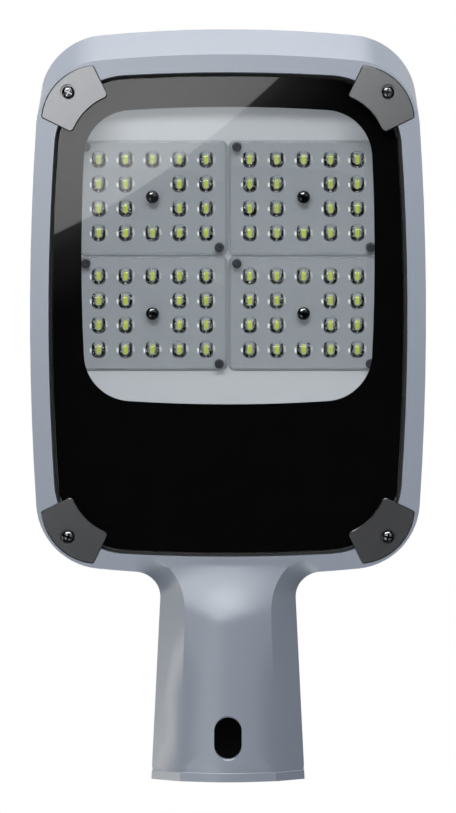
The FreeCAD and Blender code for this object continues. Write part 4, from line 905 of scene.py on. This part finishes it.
def pin_mesh(sizes):
    """Push-in pin: round head with a dimple, and a shank above it. Its seat is at z = 0."""
    radius = sizes.pin_head_radius
    height = sizes.pin_head_height
    shank = radius * 0.53
    dimple = height * 0.65
    shank_top = height * 5.5
    profile = [
        (0.0, -dimple),
        (radius * 0.3, -dimple),
        (radius * 0.42, -height),
        (radius * 0.8, -height),
        (radius * 0.96, -height * 0.8),
        (radius, -height * 0.5),
        (radius, 0.0),
        (shank, 0.0),
        (shank, shank_top),
        (0.0, shank_top),
    ]
    around = 32
    rows = []
    for step in range(around):
        turn = 2 * math.pi * step / around
        rows.append([(reach * math.cos(turn), reach * math.sin(turn), z) for reach, z in profile])
    return mesh_of_rows("pin", rows, rings=False, closed=True)


# Inputs of the node trees


def screw_values(sizes, box, finish, seed):
    """Inputs of the screw tree for the screws in a box."""
    return {
        "Head Radius": sizes.screw_head_radius,
        "Head Height": sizes.screw_head_height,
        "Shank Radius": sizes.screw_shank_radius,
        "Shank Length": box[1][2] - box[0][2] - sizes.screw_head_height,
        "Slot Width": sizes.cross_width,
        "Slot Length": sizes.cross_length,
        "Slot Depth": sizes.cross_depth,
        "Turn": sizes.cross_turn,
        "Turn Spread": sizes.cross_spread,
        "Seed": seed,
        "Finish": finish,
    }


def field_values(sizes, part, finish, middle, seat):
    """Inputs of the module field tree for a part that stands at a height over a module's middle."""
    return {
        "Part": part,
        "Columns": sizes.lens_columns,
        "Rows": sizes.lens_rows,
        "Pitch X": sizes.lens_pitch_x,
        "Pitch Y": sizes.lens_pitch_y,
        "Middle Clear": sizes.middle_clear,
        "Centre": (middle.x, middle.y + sizes.lens_lead, seat),
        "Finish": finish,
    }


# Pieces


class STREETLIGHT_OT_casting(bpy.types.Operator):
    """Paint the pressure die casting"""

    bl_idname = "streetlight.casting"
    bl_label = "Casting"

    def execute(self, context):
        colours = context.scene.street_light_colours
        sizes = context.scene.street_light_sizes
        paint = powder_coat("powder_coat", colours.casting)
        piece = smooth_copy("housing", "painted_casting", paint, degrees=24)
        # The faces in the socket's bore get a nearly black finish, which is painted shade.
        piece.data.materials.append(bore_shade_finish("painted_socket_shade", colours.bare))
        bore = SOCKET["r_mm"] / 1000 + sizes.bore_margin
        depth = SOCKET["length_mm"] / 1000
        for face in piece.data.polygons:
            x, y, z = face.center
            if math.hypot(x, z) < bore and y < depth:
                face.material_index = 1
        return {"FINISHED"}


class STREETLIGHT_OT_glass(bpy.types.Operator):
    """Finish the glass, its print and its gasket"""

    bl_idname = "streetlight.glass"
    bl_label = "Glass"

    def execute(self, context):
        colours = context.scene.street_light_colours
        sizes = context.scene.street_light_sizes
        dress("glass_cover", clear_solid("cover_glass", colours.cover, roughness=0.0, refraction=1.5)[0])
        enamel = enamel_print("black_enamel", colours.enamel)
        fired = smooth_copy("glass_border_print", "fired_print", enamel, degrees=30, shift=sizes.print_lift)
        fired.visible_shadow = False
        fired.visible_diffuse = False
        dress("glass_gasket", moulded_plastic("gasket_rubber", colours.gasket, roughness=0.75))
        return {"FINISHED"}


class STREETLIGHT_OT_clamps(bpy.types.Operator):
    """Finish the corner clamps and make their screws"""

    bl_idname = "streetlight.clamps"
    bl_label = "Corner Clamps"

    def execute(self, context):
        colours = context.scene.street_light_colours
        sizes = context.scene.street_light_sizes
        metal = clamp_metal("clamp_metal", colours.clamp)
        for corner in CORNERS:
            dress("corner_clamp_" + corner, metal)
        chrome = plated_metal("black_chrome", colours.dark_chrome, roughness=0.08)
        host = points_mesh("clamp_places", screw_places(sizes, CLAMP_SCREW_BOX))
        values = screw_values(sizes, CLAMP_SCREW_BOX, chrome, seed=11)
        piece = grown_piece("clamp_cross_screws", host, cross_screw_tree(), values, degrees=32)
        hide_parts("clamp_screws")
        return {"FINISHED"}


class STREETLIGHT_OT_mounting_plate(bpy.types.Operator):
    """Finish the plate behind the modules and its screws"""

    bl_idname = "streetlight.mounting_plate"
    bl_label = "Mounting Plate"

    def execute(self, context):
        colours = context.scene.street_light_colours
        dress("led_mounting_plate", lacquer("white_lacquer", colours.plate))
        dress("plate_screws", plated_metal("plate_screw_zinc", colours.zinc, roughness=0.3))
        return {"FINISHED"}


class STREETLIGHT_OT_boards(bpy.types.Operator):
    """Make the circuit boards with their diodes"""

    bl_idname = "streetlight.boards"
    bl_label = "Boards And Diodes"

    def execute(self, context):
        colours = context.scene.street_light_colours
        sizes = context.scene.street_light_sizes
        mask = solder_mask("solder_mask", colours.board)
        body = link_object("diode_body_part", diode_body_mesh(sizes))
        face = link_object("diode_face_part", diode_face_mesh(sizes))
        ceramic = moulded_plastic("diode_ceramic", colours.ceramic, roughness=0.5)
        phosphor = phosphor_face("diode_phosphor", colours.phosphor)
        tree = field_tree()
        for corner in CORNERS:
            low, high = BOARD_BOXES[corner]
            middle = middle_of(BOARD_BOXES[corner])
            front = low[2] + sizes.board_gap
            layers = [(front, 0.0), (high[2], 0.0)]
            mesh = module_slab("board", corner, sizes, 0.0, sizes.joint_margin, layers)
            mesh.materials.append(mask)
            board = link_object("circuit_board_" + corner, mesh)
            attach(board, "root")
            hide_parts("led_board_" + corner)
            for label, part, finish in (("diode_bodies_", body, ceramic), ("diode_faces_", face, phosphor)):
                values = field_values(sizes, part, finish, middle, front)
                piece = grown_piece(label + corner, points_mesh("none", []), tree, values, degrees=30)
                if part is body:
                    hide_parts("led_packages_" + corner)
        for part in (body, face):
            bpy.data.objects.remove(part)
        return {"FINISHED"}


class STREETLIGHT_OT_lens_plates(bpy.types.Operator):
    """Make the clear lens plates"""

    bl_idname = "streetlight.lens_plates"
    bl_label = "Lens Plates"

    def execute(self, context):
        sizes = context.scene.street_light_sizes
        colours = context.scene.street_light_colours
        # The painted shade and painted glints of the lenses and their plates.
        painted_light_colours = (colours.painted_flank_shade, colours.spark, colours.painted_edge_shade)
        clear = lens_plastic("clear_lens", colours.lens, *painted_light_colours)
        polished = ring_plastic("polished_rings_painted_glint", colours.lens)
        lens = link_object("lens_part", lens_mesh(sizes))
        ring = link_object("ring_part", ring_mesh(sizes))
        tree = field_tree()
        for corner in CORNERS:
            middle = middle_of(BOARD_BOXES[corner])
            back = BOARD_BOXES[corner][0][2]
            host = lens_plate_slab(sizes, corner, back)
            values = field_values(sizes, lens, clear, middle, back)
            piece = grown_piece("clear_lens_plate_" + corner, host, tree, values, degrees=40)
            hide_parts("lens_plate_" + corner)
            values = field_values(sizes, ring, polished, middle, back)
            rings = grown_piece("lens_rings_" + corner, points_mesh("none", []), tree, values, degrees=60)
        for part in (lens, ring):
            bpy.data.objects.remove(part)
        return {"FINISHED"}


class STREETLIGHT_OT_module_fixings(bpy.types.Operator):
    """Make the module screws and the push-in pins"""

    bl_idname = "streetlight.module_fixings"
    bl_label = "Module Fixings"

    def execute(self, context):
        colours = context.scene.street_light_colours
        sizes = context.scene.street_light_sizes
        chrome = plated_metal("module_chrome", colours.dark_chrome, roughness=0.08)
        host = points_mesh("module_places", screw_places(sizes, MODULE_SCREW_BOX))
        values = screw_values(sizes, MODULE_SCREW_BOX, chrome, seed=5)
        piece = grown_piece("module_cross_screws", host, cross_screw_tree(), values, degrees=32)
        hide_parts("module_screws")
        places = []
        for corner in CORNERS:
            low, high = BOARD_BOXES[corner]
            middle = middle_of(BOARD_BOXES[corner])
            reach_x = (high[0] - low[0]) / 2 + sizes.plate_margin - sizes.pin_side_inset
            reach_y = (high[1] - low[1]) / 2 + sizes.plate_margin - sizes.pin_end_inset
            seat = low[2] - sizes.plate_thickness
            places.append((middle.x + reach_x, middle.y + reach_y, seat))
            places.append((middle.x - reach_x, middle.y - reach_y, seat))
        pin = link_object("pin_part", pin_mesh(sizes))
        values = {"Part": pin, "Finish": moulded_plastic("pin_plastic", colours.pin, roughness=0.35)}
        host = points_mesh("pin_places", places)
        piece = grown_piece("push_in_pins", host, places_tree(), values, degrees=35)
        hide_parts("lens_pins")
        bpy.data.objects.remove(pin)
        return {"FINISHED"}


class STREETLIGHT_OT_gear(bpy.types.Operator):
    """Finish the gear tray and what it carries"""

    bl_idname = "streetlight.gear"
    bl_label = "Gear"

    def execute(self, context):
        colours = context.scene.street_light_colours
        zinc = plated_metal("zinc_screws", colours.zinc, roughness=0.3)
        dress("gear_tray", rolled_sheet("zinc_sheet", colours.zinc))
        dress("driver", clamp_metal("driver_case_metal", colours.driver_case))
        dress("terminal_block", moulded_plastic("terminal_plastic", colours.terminal, roughness=0.5))
        dress("surge_protector", moulded_plastic("surge_plastic", colours.surge, roughness=0.45))
        brass = plated_metal("brass_screws", colours.brass, roughness=0.28)
        dress("terminal_clamp_screws", brass)
        dress("earth_screw", brass)
        for held in ("tray", "driver", "terminal_block", "surge_protector"):
            dress(held + "_screws", zinc)
        dress("earth_washer", zinc)
        return {"FINISHED"}


class STREETLIGHT_OT_socket_fittings(bpy.types.Operator):
    """Finish the cable gland, the breather and the arm's set screws"""

    bl_idname = "streetlight.socket_fittings"
    bl_label = "Socket Fittings"

    def execute(self, context):
        colours = context.scene.street_light_colours
        black = moulded_plastic("gland_plastic", colours.gland, roughness=0.5)
        for node in ("cable_gland_body", "cable_gland_nut", "cable_gland_locknut", "breather"):
            dress(node, black)
        dress("cable_gland_seal", moulded_plastic("seal_rubber", colours.seal, roughness=0.8))
        stainless = plated_metal("stainless_steel", colours.stainless, roughness=0.28)
        dress("arm_set_screws", stainless)
        dress("set_screw_jam_nuts", stainless)
        return {"FINISHED"}


# Studio


def soft_boxes(studio):
    """Rectangular lamps that shine at points on the frame's Y axis and stay out of the camera's sight."""
    white, warm = (1.0, 1.0, 1.0), (1.0, 0.93, 0.82)
    for name, place, aim_y, wide, high, watts, tint in (
        ("low_soft_box", (0.2, 2.3, -1.95), 0.2, 2.5, 0.45, studio.key_power, white),
        ("nose_soft_box", (0.15, 2.1, -0.2), 0.4, 1.6, 0.8, studio.nose_power, white),
        ("right_soft_box", (1.8, -0.2, -0.45), 0.15, 0.9, 0.4, studio.side_power, warm),
        ("fill_soft_box", (0.8, -0.7, -2.2), 0.15, 1.2, 1.2, studio.fill_power, white),
        ("sky_soft_box", (0.6, -0.3, 2.2), 0.25, 1.8, 1.8, studio.sky_power, white),
    ):
        lamp = bpy.data.lights.new(name, "AREA")
        lamp.color = tint
        lamp.shape = "RECTANGLE"
        lamp.size = wide
        lamp.size_y = high
        lamp.energy = watts
        made = link_object(name, lamp)
        made.location = place
        beam = Vector((0.0, aim_y, 0.0)) - Vector(place)
        made.rotation_euler = beam.to_track_quat("-Z", "Y").to_euler()
        made.visible_camera = False


def glow_material(name):
    """Material that only glows, with its tree and its glow."""
    material = bpy.data.materials.new(name)
    material.use_nodes = True
    tree = material.node_tree
    tree.nodes.clear()
    glow = add_node(tree, "ShaderNodeEmission")
    add_node(tree, "ShaderNodeOutputMaterial", {"Surface": glow.outputs["Emission"]})
    return material, tree, glow


def mirrored_board(name, points, material):
    """Flat board of the stage that only gloss and glass see."""
    mesh = bpy.data.meshes.new(name)
    mesh.from_pydata(points, [], [tuple(range(len(points)))])
    mesh.materials.append(material)
    board = link_object(name, mesh)
    board.visible_camera = False
    board.visible_diffuse = False
    board.visible_shadow = False


def mirrored_panel(studio):
    """Dark board under the camera with a bright corner, which the glass mirrors as a slanting edge."""
    half_width, rear, nose = 2.5, -3.0, 0.9
    edge_middle, edge_slope, edge_bend = 0.5897, -0.8364, 0.9
    dark_half_width, dark_rear = 0.25, 0.03
    material, tree, glow = glow_material("panel_glow")
    x, y = object_place(tree)[:2]
    slope = math_node(tree, "ADD", math_node(tree, "MULTIPLY", x, edge_bend), edge_slope)
    edge = math_node(tree, "ADD", math_node(tree, "MULTIPLY", slope, x), edge_middle)
    past = math_node(tree, "SUBTRACT", y, edge)
    bright = ramp(tree, past, start=-0.003, end=0.003, high=studio.panel_glow)
    fall = ramp(tree, past, start=0.0, end=0.1, low=0.86)
    near = ramp(tree, past, start=-0.03, end=0.0, high=0.2)
    far = ramp(tree, past, start=-0.11, end=0.0, high=0.2)
    panel = math_node(tree, "MULTIPLY", bright, fall)
    panel = math_node(tree, "MAXIMUM", panel, math_node(tree, "ADD", near, far))
    beside = math_node(tree, "SUBTRACT", math_node(tree, "ABSOLUTE", x), dark_half_width)
    behind = math_node(tree, "SUBTRACT", dark_rear, y)
    outside = math_node(tree, "MAXIMUM", beside, behind)
    lit = math_node(tree, "MAXIMUM", panel, ramp(tree, outside, start=0.0, end=0.3, high=studio.frame_glow))
    through = add_node(tree, "ShaderNodeLightPath").outputs["Is Transmission Ray"]
    lit = math_node(tree, "MULTIPLY", lit, math_node(tree, "SUBTRACT", 1, through))
    tree.links.new(lit, glow.inputs["Strength"])
    ends = ((-half_width, rear), (half_width, rear), (half_width, nose), (-half_width, nose))
    mirrored_board("mirrored_panel", [(*end, PANEL_HEIGHT) for end in ends], material)


def dark_screens(studio):
    """Upright dark screens round the head, behind the soft boxes, which gloss mirrors."""
    half_width, rear, nose, top = 2.2, -2.0, 3.2, 0.7
    material, tree, glow = glow_material("screen_glow")
    fade = ramp(tree, object_place(tree)[2], start=PANEL_HEIGHT, end=0.6, low=0.5, high=1.5)
    tree.links.new(math_node(tree, "MULTIPLY", fade, studio.screen_glow), glow.inputs["Strength"])
    starts = {
        "rear": (-half_width, rear),
        "right": (half_width, rear),
        "front": (half_width, nose),
        "left": (-half_width, nose),
    }
    places = list(starts.values())
    for side, start, end in zip(starts, places, places[1:] + places[:1]):
        points = [(*start, PANEL_HEIGHT), (*end, PANEL_HEIGHT), (*end, top), (*start, top)]
        mirrored_board(side + "_screen", points, material)


def studio_floor(studio, base):
    """Wide pale floor far under the head, white to the camera."""
    reach = 30.0
    z = studio.floor_height
    mesh = bpy.data.meshes.new("studio_floor")
    points = [(-reach, -reach, z), (reach, -reach, z), (reach, reach, z), (-reach, reach, z)]
    mesh.from_pydata(points, [], [(0, 1, 2, 3)])
    material, tree, shader = start_finish("pale_floor", base, roughness=0.8)
    vary_colour(tree, shader, base, spread=0.01, factor=object_noise(tree, cells=0.5))
    to_camera = add_node(tree, "ShaderNodeLightPath").outputs["Is Camera Ray"]
    glow = add_node(tree, "ShaderNodeEmission")
    shader_mix(tree, to_camera, shader.outputs["BSDF"], glow.outputs["Emission"])
    mesh.materials.append(material)
    ground = link_object("studio_floor", mesh)
    ground.visible_diffuse = False
    ground.visible_glossy = False


def white_world(studio):
    """White for what the camera, gloss and glass see, softer for the light on the head."""
    world = bpy.data.worlds.new("white_world")
    bpy.context.scene.world = world
    world.use_nodes = True
    tree = world.node_tree
    sky = tree.nodes["Background"]
    sky.inputs["Color"].default_value = (1.0, 1.0, 1.0, 1.0)
    path = add_node(tree, "ShaderNodeLightPath").outputs
    seen = math_node(tree, "MAXIMUM", path["Is Camera Ray"], path["Is Glossy Ray"])
    seen = math_node(tree, "MAXIMUM", seen, path["Is Transmission Ray"])
    inputs = {"Value": seen, "To Min": studio.ambient, "To Max": 1.0}
    strength = add_node(tree, "ShaderNodeMapRange", inputs).outputs["Result"]
    tree.links.new(strength, sky.inputs["Strength"])


def under_camera(studio):
    """Camera straight under the head, with the nose up in its picture."""
    lens = bpy.data.cameras.new("under_camera")
    lens.sensor_width = 36.0
    lens.lens = lens.sensor_width * studio.focal_pixels / PICTURE_HEIGHT
    lens.clip_start = 0.05
    lens.clip_end = 100.0
    camera = link_object("under_camera", lens)
    camera.location = (0.0, studio.camera_y, studio.camera_height)
    camera.rotation_euler = (0.0, math.pi, 0.0)
    bpy.context.scene.camera = camera


class STREETLIGHT_OT_studio(bpy.types.Operator):
    """Set the floor, the light and the camera"""

    bl_idname = "streetlight.studio"
    bl_label = "Studio"

    def execute(self, context):
        studio = context.scene.street_light_studio
        studio_floor(studio, context.scene.street_light_colours.floor)
        mirrored_panel(studio)
        dark_screens(studio)
        soft_boxes(studio)
        white_world(studio)
        under_camera(studio)
        context.scene.view_settings.view_transform = "Standard"
        return {"FINISHED"}


class STREETLIGHT_PT_panel(bpy.types.Panel):
    """Street light head panel"""

    bl_idname = "STREETLIGHT_PT_panel"
    bl_label = "Street Light Head"
    bl_space_type = "VIEW_3D"
    bl_region_type = "UI"
    bl_category = "Street Light"

    def draw(self, context):
        for operator in OPERATORS:
            self.layout.operator(operator.bl_idname)
        for group in ("street_light_sizes", "street_light_colours", "street_light_studio"):
            settings = getattr(context.scene, group)
            column = self.layout.column()
            for label in settings.__annotations__:
                column.prop(settings, label)


OPERATORS = (
    STREETLIGHT_OT_casting,
    STREETLIGHT_OT_glass,
    STREETLIGHT_OT_clamps,
    STREETLIGHT_OT_mounting_plate,
    STREETLIGHT_OT_boards,
    STREETLIGHT_OT_lens_plates,
    STREETLIGHT_OT_module_fixings,
    STREETLIGHT_OT_gear,
    STREETLIGHT_OT_socket_fittings,
    STREETLIGHT_OT_studio,
)
CLASSES = (StreetLightSizes, StreetLightColours, StreetLightStudio, *OPERATORS, STREETLIGHT_PT_panel)


def register():
    for each in CLASSES:
        bpy.utils.register_class(each)
    bpy.types.Scene.street_light_sizes = bpy.props.PointerProperty(type=StreetLightSizes)
    bpy.types.Scene.street_light_colours = bpy.props.PointerProperty(type=StreetLightColours)
    bpy.types.Scene.street_light_studio = bpy.props.PointerProperty(type=StreetLightStudio)


def unregister():
    del bpy.types.Scene.street_light_studio
    del bpy.types.Scene.street_light_colours
    del bpy.types.Scene.street_light_sizes
    for each in reversed(CLASSES):
        bpy.utils.unregister_class(each)


def main():
    register()
    bpy.ops.streetlight.casting()
    bpy.ops.streetlight.glass()
    bpy.ops.streetlight.clamps()
    bpy.ops.streetlight.mounting_plate()
    bpy.ops.streetlight.boards()
    bpy.ops.streetlight.lens_plates()
    bpy.ops.streetlight.module_fixings()
    bpy.ops.streetlight.gear()
    bpy.ops.streetlight.socket_fittings()
    bpy.ops.streetlight.studio()


if __name__ == "__main__":
    main()
